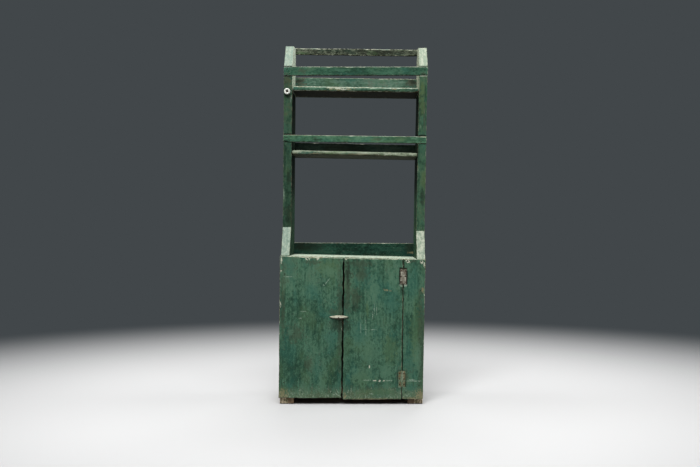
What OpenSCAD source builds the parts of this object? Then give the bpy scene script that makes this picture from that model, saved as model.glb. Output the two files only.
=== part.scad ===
// Painted farmhouse cupboard with an open rack above a one-door base.
// Millimetres, +Z up, front towards -Y, origin under the middle on the floor.

/* [Overall] */
// Width from the lower left corner of the front to the top of the right side
overall_w = 742; // [700:2:800]
// How far the left side leans to the right at its top
left_lean = 13.6; // [0:0.2:20]
// How far the right side leans to the right at its top
right_lean = 35.2; // [10:0.2:40]
// How much lower the right side ends than the left one
head_fall = 8; // [0:1:14]

/* [Sides] */
// Thickness of a side board
side_t = 42; // [36:1:48]
// Depth of a side board at the base
side_d = 318; // [300:2:360]
// Depth of the narrow upright above the base
upright_d = 233; // [220:1:250]
// Height of the sloped cut between the base and the upright
step_rise = 139; // [100:1:180]
// Height of the sloped cut at the top of the upright
top_cut_rise = 117; // [90:1:140]
// Depth of the sloped cut at the top of the upright
top_cut_run = 97; // [80:1:120]
// Distance from the top front rail up to the sloped cut
top_cut_up = 5; // [3:1:12]
// Height of the sides' lower front edge above the base front
step_up = 1; // [0:0.5:3]
// Rise of the flat top from the sloped cut to the back
crown_rise = 15; // [6:1:24]

/* [Counter] */
// Height of the counter at the left side
counter_z = 729; // [700:1:760]
// How much lower the counter is at the right side
counter_fall = 15; // [6:1:20]
// Thickness of the counter
counter_t = 22; // [18:1:26]
// Height that the counter's back rail shows above the counter
counter_rail_up = 59; // [40:1:80]
// Height that the counter's back rail hangs below the counter
counter_rail_down = 40; // [36:1:60]
// How much lower the counter's back rail is at the right side
counter_rail_fall = 4; // [0:1:8]

/* [Open rack] */
// Clear height from the counter to the middle shelf
middle_bay_h = 508; // [460:1:540]
// Thickness of the middle shelf
middle_shelf_t = 21; // [18:1:26]
// How much lower the middle shelf is at the right side
middle_shelf_fall = 15; // [6:1:20]
// Height of the back rail above the middle shelf
middle_back_rail_up = 58; // [40:1:80]
// Gap from the middle shelf up to its front rail
middle_rail_gap = 41; // [30:1:60]
// Height of the middle front rail
middle_rail_h = 34; // [28:1:44]
// How much lower the middle front rail is at the right side
middle_rail_fall = 9; // [2:1:14]
// Clear height from the middle shelf to the top shelf
top_bay_h = 298; // [260:1:330]
// Thickness of the top shelf
top_shelf_t = 24; // [18:1:28]
// How much lower the top shelf is at the right side
top_shelf_fall = 10; // [2:1:14]
// Height of the back rail above the top shelf
top_back_rail_up = 78; // [50:1:90]
// Gap from the top shelf up to its front rail
top_rail_gap = 52; // [40:1:70]
// Height of the top front rail
top_rail_h = 43; // [34:1:50]
// Height of the rail at the very top of the back
head_rail_h = 33; // [26:1:44]
// How much lower the rail at the very top is at the right side
head_rail_fall = 9; // [2:1:14]
// Distance that a shelf's front edge lies behind the uprights
shelf_inset = 3; // [1:1:10]

/* [Rails] */
// Thickness of the front rails
rail_t = 20; // [16:1:24]
// Distance that a front rail stands out of its notch
rail_proud = 4; // [1:1:8]
// Distance that a front rail's ends stand past the sides
rail_end_proud = 1; // [0:0.5:2]
// Thickness of the back rails
back_rail_t = 18; // [14:1:22]

/* [Base front] */
// Thickness of the boards of the base front
front_t = 22; // [18:1:26]
// Height of the front's top edge above the counter at the left end
front_rise = 1; // [-4:1:6]
// How much lower the front's top edge is at the door's free edge
front_fall_middle = 12; // [8:1:14]
// How much lower the front's top edge is at the right end
front_fall_right = 19; // [16:1:24]
// Height of the left board's lower edge above the floor
left_board_foot = 33; // [20:1:44]
// How much lower the left board's lower edge is at the door
left_foot_fall = 2; // [0:0.5:4]
// Height of the right stile's lower edge above the floor
stile_foot = 27; // [20:1:44]
// Overhang of the left board past the left side at its foot
left_overhang = 5; // [3:0.5:8]
// Overhang of the left board past the left side at its top
left_overhang_top = 3; // [1:0.5:3]
// Width of the right stile at the floor
stile_w = 104.5; // [96:0.5:112]
// How far both door seams lean to the right from floor to counter
seam_lean = 10.5; // [4:0.5:13]

/* [Door] */
// Distance between the middles of the door's two seams
door_w = 292.5; // [270:0.5:310]
// Height of the door's lower edge above the floor
door_foot = 24; // [20:1:40]
// How much higher the door's lower edge is at the hinges
door_foot_rise = 2; // [0:0.5:4]
// How much lower the door's top is than the left board's beside it
door_top_drop = 1; // [0:0.5:3]
// Gap at the door's free edge
latch_gap = 5; // [3:0.5:8]
// Gap at the door's hinge edge
hinge_gap = 2.5; // [2:0.5:4]
// Gap behind the closed door
door_back_gap = 0.5; // [0.3:0.1:1]
// Height of a batten on the back of the door
batten_h = 60; // [40:1:80]
// Thickness of a batten
batten_t = 20; // [14:1:26]
// Distance from the batten's ends to the door's edges
batten_inset = 34; // [24:1:60]
// Height of the lower batten's middle
lower_batten_z = 150; // [120:1:200]
// Distance from the counter down to the upper batten's middle
upper_batten_down = 139; // [110:1:180]

/* [Hinges] */
// Height of a hinge leaf
leaf_h = 79; // [60:1:90]
// Width from the hinge pin to a leaf's outer edge
leaf_w = 17; // [14:0.5:22]
// Thickness of a leaf
leaf_t = 2; // [1.6:0.1:2.4]
// Outer radius of the knuckles
knuckle_r = 3.5; // [3.2:0.1:4.5]
// Radius of the hinge pin
pin_r = 1.7; // [1.4:0.1:2]
// Running clearance round the hinge pin
pin_gap = 0.05; // [0.03:0.01:0.09]
// Gap between neighbouring knuckles and behind the barrel
knuckle_gap = 0.3; // [0.2:0.1:0.6]
// Distance between a leaf's screws
leaf_screw_pitch = 27; // [16:1:28]
// Height of the lower hinge's middle
lower_hinge_z = 126; // [110:1:180]
// Distance from the counter down to the upper hinge's middle
upper_hinge_down = 101; // [90:1:160]

/* [Turn button] */
// Length of the wooden turn button
button_l = 92; // [80:1:110]
// Height of the turn button at its middle
button_h = 26; // [20:1:32]
// Thickness of the turn button at its middle
button_t = 12; // [9:0.5:14]
// Thickness of the turn button at its tips
button_tip_t = 6; // [4:0.5:8]
// Height of the turn button's nail
button_z = 427; // [380:1:470]
// Distance from the latch seam to the turn button's nail
button_back = 21; // [16:1:26]
// Gap between the turn button and what it lies against
button_gap = 0.3; // [0.2:0.1:0.5]
// Radius of the turn button's nail
button_nail_r = 1.8; // [1.5:0.1:2.4]
// Radius of the turn button's nail head
button_head_r = 4; // [3.5:0.1:5]
// Thickness of the turn button's nail head
button_head_t = 1.8; // [1.2:0.1:2.4]

/* [Porcelain ring] */
// Outer radius of the porcelain ring
ring_r = 16; // [13:0.5:18]
// Radius of the ring's open middle
ring_bore_r = 6; // [4.5:0.5:7]
// Depth of the ring from the wood to its front
ring_t = 14; // [12:0.5:18]
// Distance from the top shelf down to the ring's middle
ring_down = 29; // [20:1:40]
// Distance from the side's outer face to the ring's middle
ring_in = 17.5; // [16:0.5:24]
// Thickness of the ring's floor, which the screw holds
ring_floor_t = 5; // [3:0.5:6]

/* [Base inside] */
// Height of the bottom board's upper face
bottom_z = 72; // [62:1:80]
// Height of the inner shelf's upper face
inner_shelf_z = 392; // [350:1:440]
// Thickness of the bottom board and the inner shelf
inner_t = 20; // [16:1:24]
// Distance of the inner shelf's front edge behind the side boards' fronts
inner_shelf_inset = 60; // [50:1:100]
// Width of the left corner post
left_post_w = 26; // [20:1:32]
// Width of the right corner post
right_post_w = 31; // [24:1:38]
// Depth of the corner posts
post_d = 40; // [30:1:46]
// Thickness of the cleats
cleat_t = 22; // [16:1:28]
// Height of the cleats
cleat_h = 30; // [24:1:40]
// Gap between a corner post and what lies beside it
post_gap = 1.5; // [0.5:0.5:3]

/* [Back planks] */
// Thickness of the back planks
plank_t = 14; // [10:1:18]
// Gap between two back planks
plank_gap = 2.5; // [1:0.5:5]
// Height of the planks' lower ends above the floor
plank_foot = 22; // [14:1:40]
// Distance that the planks stay inside the sides' outer faces
plank_inset = 4; // [2:1:10]
// Height that the planks lap over the counter's back rail
plank_lap = 36; // [24:1:44]

/* [Nails] */
// Radius of a nail's shank
nail_r = 1.5; // [1.2:0.1:2]
// Radius of a nail's head
nail_head_r = 4; // [3:0.1:4.5]
// Thickness of a nail's head
nail_head_t = 1.5; // [1:0.1:2]
// Length that a nail reaches into the piece that carries it
nail_bite = 24; // [18:1:30]
// Depth of a sunk nail's head below the wood
nail_set = 1; // [0.5:0.1:2]

/* [Fits] */
// Gap round a board in its housing or beside its neighbour
fit_gap = 0.3; // [0.2:0.05:0.4]
// Gap above and below a rail in its notch
notch_gap = 1.5; // [0.4:0.1:2]
// Depth of a housing cut into a side board
housing_d = 8; // [6:1:12]
// Length at a side board's front edge that a housing leaves whole
housing_stop = 14; // [10:1:24]
// Gap round a nail or screw in its hole
nail_gap = 0.05; // [0.03:0.01:0.1]

/* [Hidden] */

$fn = 48;
over = 1;

green = "#40694f";
dark_green = "#33543f";
bare_wood = "#8a7458";
iron = "#5a5048";
steel = "#8f8a84";
pale_wood = "#b8ac8c";
white = "#eeeeea";

// Depths, measured from the middle of everything
button_front = button_gap + button_t + button_gap + button_head_t;
all_d = button_front + front_t + side_d + plank_t + nail_head_t;
plank_y = all_d / 2 - nail_head_t - plank_t;
back_y = plank_y;
carcass_y = back_y - side_d;
front_y = carcass_y - front_t;
upright_y = back_y - upright_d;
back_rail_y = back_y - back_rail_t;

// Heights that stack up from the counter, at the left side
front_top_left = counter_z + front_rise;
front_top_middle = front_top_left - front_fall_middle;
front_top_right = front_top_left - front_fall_right;
middle_shelf_z = counter_z + middle_bay_h + middle_shelf_t;
middle_rail_z = middle_shelf_z + middle_rail_gap;
top_shelf_z = middle_shelf_z + top_bay_h + top_shelf_t;
top_rail_z = top_shelf_z + top_rail_gap;
top_cut_z = top_rail_z + top_rail_h + top_cut_up;
left_h = top_cut_z + top_cut_rise + crown_rise;
right_h = left_h - head_fall;
counter_rail_h = counter_rail_up + counter_t + counter_rail_down;
counter_rail_z = counter_z + counter_rail_up - counter_rail_h;

// Faces of the leaning sides at a height
left_slope = left_lean / left_h;
right_slope = right_lean / right_h;
left_foot_x = -overall_w / 2 + left_overhang - left_slope * left_board_foot;
right_foot_x = overall_w / 2 - right_slope * right_h;
function left_face(z) = left_foot_x + left_slope * z;
function right_face(z) = right_foot_x + right_slope * z;
function left_inner(z) = left_face(z) + side_t;
function right_inner(z) = right_face(z) - side_t;

// Seams of the base front at a height
seam_slope = seam_lean / counter_z;
seam_angle = atan(seam_slope);
function hinge_seam(z) = right_foot_x - stile_w + seam_slope * z;
function latch_seam(z) = hinge_seam(z) - door_w;
function board_edge(z) = left_face(z) - left_overhang + (left_overhang - left_overhang_top)
    * (z - left_board_foot) / (front_top_left - left_board_foot);
latch_x = latch_seam(front_top_middle);
function front_top(x) = x < latch_x
    ? front_top_left + (front_top_middle - front_top_left) * (x + overall_w / 2) / (latch_x + overall_w / 2)
    : front_top_middle + (front_top_right - front_top_middle) * (x - latch_x) / (right_foot_x - latch_x);

// Upper face of the counter at a place across the front
function counter_top_z(x) = counter_z - counter_fall * (x - left_inner(counter_z))
    / (right_inner(counter_z) - left_inner(counter_z));

// Hinge axis, just in front of the boards
hinge_y = front_y + leaf_t - knuckle_r - knuckle_gap;
leaf_front = front_y - hinge_y;
leaf_back = leaf_front + leaf_t;
leaf_edge = knuckle_r + knuckle_gap;
knuckle_count = 5;
pin_cap_h = 1.2;
pin_cap_r = (knuckle_r + pin_r) / 2;
screw_r = 1.6;
screw_head_r = 3.4;
screw_head_t = 1.2;
screw_l = 16;
screw_slot_w = 0.8;
screw_slot_d = 0.6;
screw_slot_turn = 35;
leaf_screw_z = [-leaf_screw_pitch, 0, leaf_screw_pitch];
leaf_screw_x = (leaf_edge + leaf_w) / 2;
upper_hinge_z = counter_z - upper_hinge_down;
upper_batten_z = counter_z - upper_batten_down;

button_x = latch_seam(button_z) - button_back;

// Places of the nails in the base front, as x and z
board_mid_z = bottom_z - inner_t / 2;
counter_mid = counter_t / 2;
left_edge_shares = [0.15, 0.37, 0.64, 0.88];
left_top_shares = [0.337, 0.8];
left_low_shares = [0.25, 0.8];
stile_edge_shares = [0.13, 0.45, 0.77, 0.965];
stile_nail_in = 20;
left_width = latch_x - left_inner(counter_z);
top_nail_xs = concat(
    [for (k = left_top_shares) left_inner(counter_z) + k * left_width],
    [hinge_seam(counter_z) + stile_nail_in]
);
low_nail_xs = concat(
    [for (k = left_low_shares) left_inner(0) + k * left_width],
    [hinge_seam(board_mid_z) + stile_nail_in]
);
front_nail_places = concat(
    [for (k = left_edge_shares) [left_face(k * counter_z) + side_t / 2, k * counter_z]],
    [for (k = stile_edge_shares) [right_face(k * counter_z) - side_t / 2, k * counter_z]],
    [for (x = top_nail_xs) [x, counter_top_z(x) - counter_mid]],
    [for (x = low_nail_xs) [x, board_mid_z]]
);

// The boards that run across between the sides, as [lower edge, height, fall]
head_rail = [left_h - head_rail_h, head_rail_h, head_rail_fall];
head_notch = [head_rail[0], head_rail_h + crown_rise, head_rail_fall];
top_rail = [top_rail_z, top_rail_h, 0];
top_shelf_size = [top_shelf_z - top_shelf_t, top_shelf_t, top_shelf_fall];
top_back_rail_size = [top_shelf_z - top_shelf_t, top_shelf_t + top_back_rail_up, top_shelf_fall];
middle_rail = [middle_rail_z, middle_rail_h, middle_rail_fall];
middle_shelf_size = [middle_shelf_z - middle_shelf_t, middle_shelf_t, middle_shelf_fall];
middle_back_rail_size = [
    middle_shelf_z - middle_shelf_t, middle_shelf_t + middle_back_rail_up, middle_shelf_fall
];
counter_size = [counter_z - counter_t, counter_t, counter_fall];
counter_rail = [counter_rail_z, counter_rail_h, counter_rail_fall];
front_rails = [top_rail, middle_rail];
back_notches = [head_notch, top_back_rail_size, middle_back_rail_size, counter_rail];
housed_boards = [top_shelf_size, middle_shelf_size, counter_size];

// Back rails, each with the height from its lower edge that the planks cover
back_rail_rows = [
    [head_rail, 0], [top_back_rail_size, 0], [middle_back_rail_size, 0], [counter_rail, plank_lap]
];

// Places of the two nails in a rail's end, as shares of the side's thickness and the rail's height
rail_nail_spots = [[0.68, 0.28], [0.34, 0.72]];

// Seams between the back planks
plank_seams = [for (k = [-0.256, -0.005, 0.237]) k * overall_w];
plank_top_z = counter_rail_z - counter_rail_fall + plank_lap;
plank_rows = [counter_rail_z + plank_lap / 2, inner_shelf_z - inner_t / 2, board_mid_z];

// Outline in X and Z, carried along Y from y0 to y1
module xz_slab(points, y0, y1) {
    translate([0, y1, 0])
        rotate([90, 0, 0])
            linear_extrude(y1 - y0)
                polygon(points);
}

// Outline in Y and Z, carried across the whole width
module yz_slab(points) {
    translate([-overall_w, 0, 0])
        rotate([90, 0, 90])
            linear_extrude(2 * overall_w)
                polygon(points);
}

// Outline of a board across the sides; reach is how far it goes past their inner faces
function cross_outline(size, reach, grow_x = 0, grow_z = 0) =
    let (
        l0 = size[0] - grow_z,
        l1 = size[0] + size[1] + grow_z,
        r0 = l0 - size[2],
        r1 = l1 - size[2],
        out = reach + grow_x
    )
    [
        [left_inner(l0) - out, l0], [right_inner(r0) + out, r0],
        [right_inner(r1) + out, r1], [left_inner(l1) - out, l1]
    ];

// Nail with its head outside the face at z = 0
module nail(length) {
    cylinder(r = nail_head_r, h = nail_head_t, $fn = 24);
    translate([0, 0, -length])
        cylinder(r = nail_r, h = length + nail_head_t / 2, $fn = 24);
}

// Hole for a nail; sunk also lets its head in flush
module nail_hole(length, sunk = 0) {
    translate([0, 0, -length - over])
        cylinder(r = nail_r + nail_gap, h = length + 3 * over, $fn = 24);
    if (sunk > 0)
        translate([0, 0, -sunk])
            cylinder(r = nail_head_r + nail_gap, h = sunk + 3 * over, $fn = 24);
}

module to_front() rotate([90, 0, 0]) children();
module to_back() rotate([-90, 0, 0]) children();
module to_left() rotate([0, -90, 0]) children();
module to_right() rotate([0, 90, 0]) children();

// Places where things are nailed; each module repeats its child there
module at_front_nails() {
    for (p = front_nail_places)
        translate([p[0], front_y, p[1]]) to_front() children();
}

module at_rail_nails() {
    for (size = front_rails, spot = rail_nail_spots) {
        z = size[0] + spot[1] * size[1];
        translate([left_face(z) + spot[0] * side_t, upright_y - rail_proud, z])
            to_front() children();
        translate([right_face(z) - spot[0] * side_t, upright_y - rail_proud, z - size[2]])
            to_front() children();
    }
}

module at_back_rail_nails() {
    for (row = back_rail_rows, spot = rail_nail_spots) {
        size = row[0];
        z = size[0] + row[1] + spot[1] * (size[1] - row[1]);
        translate([left_face(z) + spot[0] * side_t, back_y, z])
            to_back() children();
        translate([right_face(z) - spot[0] * side_t, back_y, z - size[2]])
            to_back() children();
    }
}

shelf_nail_places = [0.3, 0.55, 0.8];
shelf_nail_sink = nail_head_t + nail_set;
shelf_nail_l = side_t + nail_bite - shelf_nail_sink;
module at_shelf_nails() {
    for (size = housed_boards, k = shelf_nail_places) {
        z = size[0] + size[1] / 2;
        y = upright_y + k * upright_d;
        translate([left_face(z) + shelf_nail_sink, y, z])
            to_left() children();
        translate([right_face(z - size[2]) - shelf_nail_sink, y, z - size[2]])
            to_right() children();
    }
}

cleat_nail_in = 36;
cleat_y = carcass_y + post_d + post_gap;
cleat_nail_l = cleat_t + nail_bite - shelf_nail_sink;
module at_cleat_nails() {
    for (top = [bottom_z, inner_shelf_z], y = [cleat_y + cleat_nail_in, back_y - cleat_nail_in]) {
        z = top - inner_t - cleat_h / 2;
        translate([left_inner(z) + fit_gap + cleat_t - shelf_nail_sink, y, z])
            to_right() children();
        translate([right_inner(z) - fit_gap - cleat_t + shelf_nail_sink, y, z])
            to_left() children();
    }
}

plank_nail_shares = [0.14, 0.86];
module at_plank_nails() {
    for (i = [0 : len(plank_seams)], z = plank_rows, k = plank_nail_shares) {
        x0 = i == 0 ? left_face(z) : plank_seams[i - 1];
        x1 = i == len(plank_seams) ? right_face(z) : plank_seams[i];
        translate([x0 + k * (x1 - x0), back_y + plank_t, z]) to_back() children();
    }
}

front_nail_l = front_t + nail_bite;
rail_nail_l = rail_t + nail_bite;
back_rail_nail_l = back_rail_t + nail_bite;
plank_nail_l = plank_t + nail_bite;

module front_nail_holes() at_front_nails() nail_hole(front_nail_l);
module rail_nail_holes() at_rail_nails() nail_hole(rail_nail_l);
module back_rail_nail_holes() at_back_rail_nails() nail_hole(back_rail_nail_l);
module shelf_nail_holes() at_shelf_nails() nail_hole(shelf_nail_l, shelf_nail_sink);
module cleat_nail_holes() at_cleat_nails() nail_hole(cleat_nail_l, shelf_nail_sink);
module plank_nail_holes() at_plank_nails() nail_hole(plank_nail_l);

// One side board: a stepped outline that leans to the right
module side_board(foot_x, slope, h, step_z) {
    difference() {
        intersection() {
            yz_slab([
                [carcass_y, 0], [carcass_y, step_z], [upright_y, step_z + step_rise],
                [upright_y, top_cut_z], [upright_y + top_cut_run, h - crown_rise],
                [back_y, h], [back_y, 0]
            ]);
            xz_slab([
                [foot_x, 0], [foot_x + side_t, 0],
                [foot_x + side_t + slope * h, h], [foot_x + slope * h, h]
            ], carcass_y - over, back_y + over);
        }
        for (size = front_rails)
            xz_slab(
                cross_outline(size, side_t + over, 0, notch_gap),
                upright_y - over, upright_y - rail_proud + rail_t + fit_gap
            );
        for (size = back_notches)
            xz_slab(
                cross_outline(size, side_t + over, 0, notch_gap),
                back_rail_y - fit_gap, back_y + over
            );
        housing(top_shelf_size, upright_y);
        housing(middle_shelf_size, upright_y);
        housing(counter_size, carcass_y);
        front_nail_holes();
        rail_nail_holes();
        back_rail_nail_holes();
        shelf_nail_holes();
        cleat_nail_holes();
        plank_nail_holes();
    }
}

// Housing for a shelf's ends, stopped short of the front edge at y
module housing(size, y) {
    xz_slab(
        cross_outline(size, housing_d, fit_gap, fit_gap),
        y + housing_stop, back_rail_y + over
    );
}

module left_side() {
    color(green)
        difference() {
            side_board(left_foot_x, left_slope, left_h, front_top_left + step_up);
            ring_screw_hole();
        }
}

module right_side() {
    color(green)
        side_board(right_foot_x - side_t, right_slope, right_h, front_top_right + step_up);
}

// Board with tongues in the housings of both sides
module housed_board(size, y, edge_y) {
    difference() {
        union() {
            xz_slab(cross_outline(size, -fit_gap), edge_y, back_rail_y - fit_gap);
            xz_slab(
                cross_outline(size, housing_d),
                y + housing_stop + fit_gap, back_rail_y - fit_gap
            );
        }
        shelf_nail_holes();
    }
}

module front_rail(size) {
    color(green)
        difference() {
            xz_slab(
                cross_outline(size, side_t + rail_end_proud),
                upright_y - rail_proud, upright_y - rail_proud + rail_t
            );
            rail_nail_holes();
        }
}

module back_rail(size) {
    difference() {
        xz_slab(cross_outline(size, side_t), back_rail_y, back_y);
        back_rail_nail_holes();
        plank_nail_holes();
    }
}

module top_back_rail() color(bare_wood) back_rail(head_rail);
module top_shelf_back_rail() color(green) back_rail(top_back_rail_size);
module middle_shelf_back_rail() color(dark_green) back_rail(middle_back_rail_size);
module counter_back_rail() color(dark_green) back_rail(counter_rail);
module top_front_rail() front_rail(top_rail);
module middle_front_rail() front_rail(middle_rail);
module top_shelf() color(green) housed_board(top_shelf_size, upright_y, upright_y + shelf_inset);
module middle_shelf() color(green) housed_board(middle_shelf_size, upright_y, upright_y + shelf_inset);

module counter_top() {
    color(green)
        difference() {
            housed_board(counter_size, carcass_y, carcass_y);
            front_nail_holes();
        }
}

// Corner post against a side's inner face, from the floor to the counter
module left_front_post() {
    h = counter_top_z(left_inner(counter_z) + fit_gap + left_post_w) - counter_t - fit_gap;
    color(bare_wood)
        difference() {
            xz_slab([
                [left_inner(0) + fit_gap, 0], [left_inner(0) + fit_gap + left_post_w, 0],
                [left_inner(h) + fit_gap + left_post_w, h], [left_inner(h) + fit_gap, h]
            ], carcass_y, carcass_y + post_d);
            front_nail_holes();
        }
}

module right_front_post() {
    h = counter_z - counter_fall - counter_t - fit_gap;
    color(bare_wood)
        difference() {
            xz_slab([
                [right_inner(0) - fit_gap - right_post_w, 0], [right_inner(0) - fit_gap, 0],
                [right_inner(h) - fit_gap, h], [right_inner(h) - fit_gap - right_post_w, h]
            ], carcass_y, carcass_y + post_d);
            front_nail_holes();
        }
}

module left_front_board() {
    x0 = board_edge(front_top_left);
    x1 = latch_seam(front_top_middle) - latch_gap / 2;
    z0 = left_board_foot;
    z1 = z0 - left_foot_fall;
    color(green)
        difference() {
            xz_slab([
                [board_edge(z0), z0], [latch_seam(z1) - latch_gap / 2, z1],
                [x1, front_top_middle], [x0, front_top_left]
            ], front_y, carcass_y);
            front_nail_holes();
            translate([button_x, front_y, button_z])
                to_front() button_nail_hole();
        }
}

module right_front_stile() {
    z0 = stile_foot;
    z1 = front_top(hinge_seam(front_top_right));
    color(green)
        difference() {
            xz_slab([
                [hinge_seam(z0) + hinge_gap / 2, z0], [right_face(z0), z0],
                [right_face(front_top_right), front_top_right], [hinge_seam(z1) + hinge_gap / 2, z1]
            ], front_y, carcass_y);
            front_nail_holes();
            at_hinges() leaf_mortise(1);
        }
}

// Board inside the base between the sides, cut back round the posts
module bottom_board() {
    z0 = bottom_z - inner_t;
    x0 = left_inner(bottom_z) + fit_gap + left_post_w + post_gap;
    x1 = right_inner(z0) - fit_gap - right_post_w - post_gap;
    color(bare_wood)
        difference() {
            xz_slab(cross_outline([z0, inner_t, 0], -fit_gap), carcass_y, back_y);
            for (x = [x0 - overall_w, x1])
                translate([x, carcass_y - over, z0 - over])
                    cube([overall_w, post_d + fit_gap + over, inner_t + 2 * over]);
            front_nail_holes();
            plank_nail_holes();
        }
}

module inner_shelf() {
    z0 = inner_shelf_z - inner_t;
    color(bare_wood)
        difference() {
            xz_slab(cross_outline([z0, inner_t, 0], -fit_gap), carcass_y + inner_shelf_inset, back_y);
            plank_nail_holes();
        }
}

module left_cleat(top) {
    z0 = top - cleat_h;
    color(bare_wood)
        difference() {
            xz_slab([
                [left_inner(z0) + fit_gap, z0], [left_inner(z0) + fit_gap + cleat_t, z0],
                [left_inner(top) + fit_gap + cleat_t, top], [left_inner(top) + fit_gap, top]
            ], cleat_y, back_y);
            cleat_nail_holes();
        }
}

module right_cleat(top) {
    z0 = top - cleat_h;
    color(bare_wood)
        difference() {
            xz_slab([
                [right_inner(z0) - fit_gap - cleat_t, z0], [right_inner(z0) - fit_gap, z0],
                [right_inner(top) - fit_gap, top], [right_inner(top) - fit_gap - cleat_t, top]
            ], cleat_y, back_y);
            cleat_nail_holes();
        }
}

module left_bottom_cleat() left_cleat(bottom_z - inner_t);
module right_bottom_cleat() right_cleat(bottom_z - inner_t);
module left_shelf_cleat() left_cleat(inner_shelf_z - inner_t);
module right_shelf_cleat() right_cleat(inner_shelf_z - inner_t);

// Upright plank nailed over the back; the outer two follow the leaning sides
module back_plank(i) {
    last = len(plank_seams);
    l0 = i == 0 ? left_face(plank_foot) + plank_inset : plank_seams[i - 1] + plank_gap / 2;
    l1 = i == 0 ? left_face(plank_top_z) + plank_inset : l0;
    r0 = i == last ? right_face(plank_foot) - plank_inset : plank_seams[i] - plank_gap / 2;
    r1 = i == last ? right_face(plank_top_z) - plank_inset : r0;
    color(bare_wood)
        difference() {
            xz_slab([
                [l0, plank_foot], [r0, plank_foot], [r1, plank_top_z], [l1, plank_top_z]
            ], plank_y, plank_y + plank_t);
            plank_nail_holes();
        }
}

module back_plank_1() back_plank(0);
module back_plank_2() back_plank(1);
module back_plank_3() back_plank(2);
module back_plank_4() back_plank(3);

module front_nails() color(iron) at_front_nails() nail(front_nail_l);
module rail_nails() color(iron) at_rail_nails() nail(rail_nail_l);
module back_rail_nails() color(iron) at_back_rail_nails() nail(back_rail_nail_l);
module shelf_nails() color(iron) at_shelf_nails() nail(shelf_nail_l);
module cleat_nails() color(iron) at_cleat_nails() nail(cleat_nail_l);
module plank_nails() color(iron) at_plank_nails() nail(plank_nail_l);

// Round ring with an open middle and a floor that its screw holds
ring_z = top_shelf_z - ring_down;
ring_x = left_face(ring_z) + ring_in;
ring_screw_r = 2.5;
ring_screw_l = 22;
ring_head_t = 2.4;
ring_head_gap = 1;
ring_slot_w = 1;
ring_slot_d = 0.9;
ring_wall = ring_r - ring_bore_r;
module porcelain_ring() {
    round_r = ring_wall / 2;
    color(white)
        translate([ring_x, upright_y, ring_z]) to_front()
            rotate_extrude() {
                translate([ring_bore_r + round_r, round_r]) circle(round_r);
                translate([ring_bore_r + round_r, ring_t - round_r]) circle(round_r);
                translate([ring_bore_r, round_r]) square([ring_wall, ring_t - 2 * round_r]);
                translate([ring_screw_r + nail_gap, 0])
                    square([ring_bore_r + round_r - ring_screw_r, ring_floor_t]);
            }
}

module porcelain_ring_screw() {
    color(iron)
        translate([ring_x, upright_y, ring_z]) to_front()
            difference() {
                union() {
                    translate([0, 0, ring_floor_t])
                        cylinder(r = ring_bore_r - ring_head_gap, h = ring_head_t);
                    translate([0, 0, -ring_screw_l])
                        cylinder(r = ring_screw_r, h = ring_screw_l + ring_floor_t + over);
                }
                translate([-ring_r, -ring_slot_w / 2, ring_floor_t + ring_head_t - ring_slot_d])
                    cube([2 * ring_r, ring_slot_w, ring_slot_d + over]);
            }
}

module ring_screw_hole() {
    translate([ring_x, upright_y, ring_z]) to_front()
        translate([0, 0, -ring_screw_l - over])
            cylinder(r = ring_screw_r + nail_gap, h = ring_screw_l + 2 * over);
}

// Hinges: each lies on the front face, let in flush, with its barrel standing out
module at_hinge(z) {
    translate([hinge_seam(z), hinge_y, z]) rotate([0, seam_angle, 0]) children();
}

module at_hinges() {
    for (z = [lower_hinge_z, upper_hinge_z]) at_hinge(z) children();
}

// Recess for a leaf on the side that way points to, with its screw holes
module leaf_mortise(way) {
    translate([way > 0 ? -leaf_edge : -leaf_w - fit_gap, -leaf_h, -leaf_h / 2 - fit_gap])
        cube([leaf_w + leaf_edge + fit_gap, leaf_h + leaf_back, leaf_h + 2 * fit_gap]);
    translate([-leaf_edge, -leaf_h, -leaf_h / 2 - pin_cap_h - fit_gap])
        cube([2 * leaf_edge, leaf_h + leaf_back, leaf_h + 2 * (pin_cap_h + fit_gap)]);
    at_leaf_screws(way)
        translate([0, 0, -screw_l - over])
            cylinder(r = screw_r + nail_gap, h = screw_l + 2 * over, $fn = 24);
}

module at_leaf_screws(way) {
    for (z = leaf_screw_z)
        translate([way * leaf_screw_x, leaf_front, z]) to_front() children();
}

knuckle_l = leaf_h / knuckle_count;
module hinge_leaf(way) {
    first = way > 0 ? 0 : 1;
    difference() {
        union() {
            translate([way > 0 ? leaf_edge : -leaf_w, leaf_front, -leaf_h / 2])
                cube([leaf_w - leaf_edge, leaf_t, leaf_h]);
            for (k = [first : 2 : knuckle_count - 1])
                translate([0, 0, -leaf_h / 2 + k * knuckle_l + knuckle_gap / 2]) {
                    cylinder(r = knuckle_r, h = knuckle_l - knuckle_gap);
                    translate([way > 0 ? 0 : -leaf_edge - over, leaf_front, 0])
                        cube([leaf_edge + over, leaf_t, knuckle_l - knuckle_gap]);
                }
        }
        translate([0, 0, -leaf_h])
            cylinder(r = pin_r + pin_gap, h = 2 * leaf_h);
        at_leaf_screws(way) {
            translate([0, 0, -leaf_t - over])
                cylinder(r = screw_r + nail_gap, h = leaf_t + 2 * over, $fn = 24);
            translate([0, 0, -screw_head_t])
                cylinder(r = screw_head_r + nail_gap, h = screw_head_t + over, $fn = 24);
        }
    }
}

module hinge_pin() {
    translate([0, 0, -leaf_h / 2])
        cylinder(r = pin_r, h = leaf_h);
    for (z = [-leaf_h / 2 - pin_cap_h, leaf_h / 2])
        translate([0, 0, z])
            cylinder(r = pin_cap_r, h = pin_cap_h);
}

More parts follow.
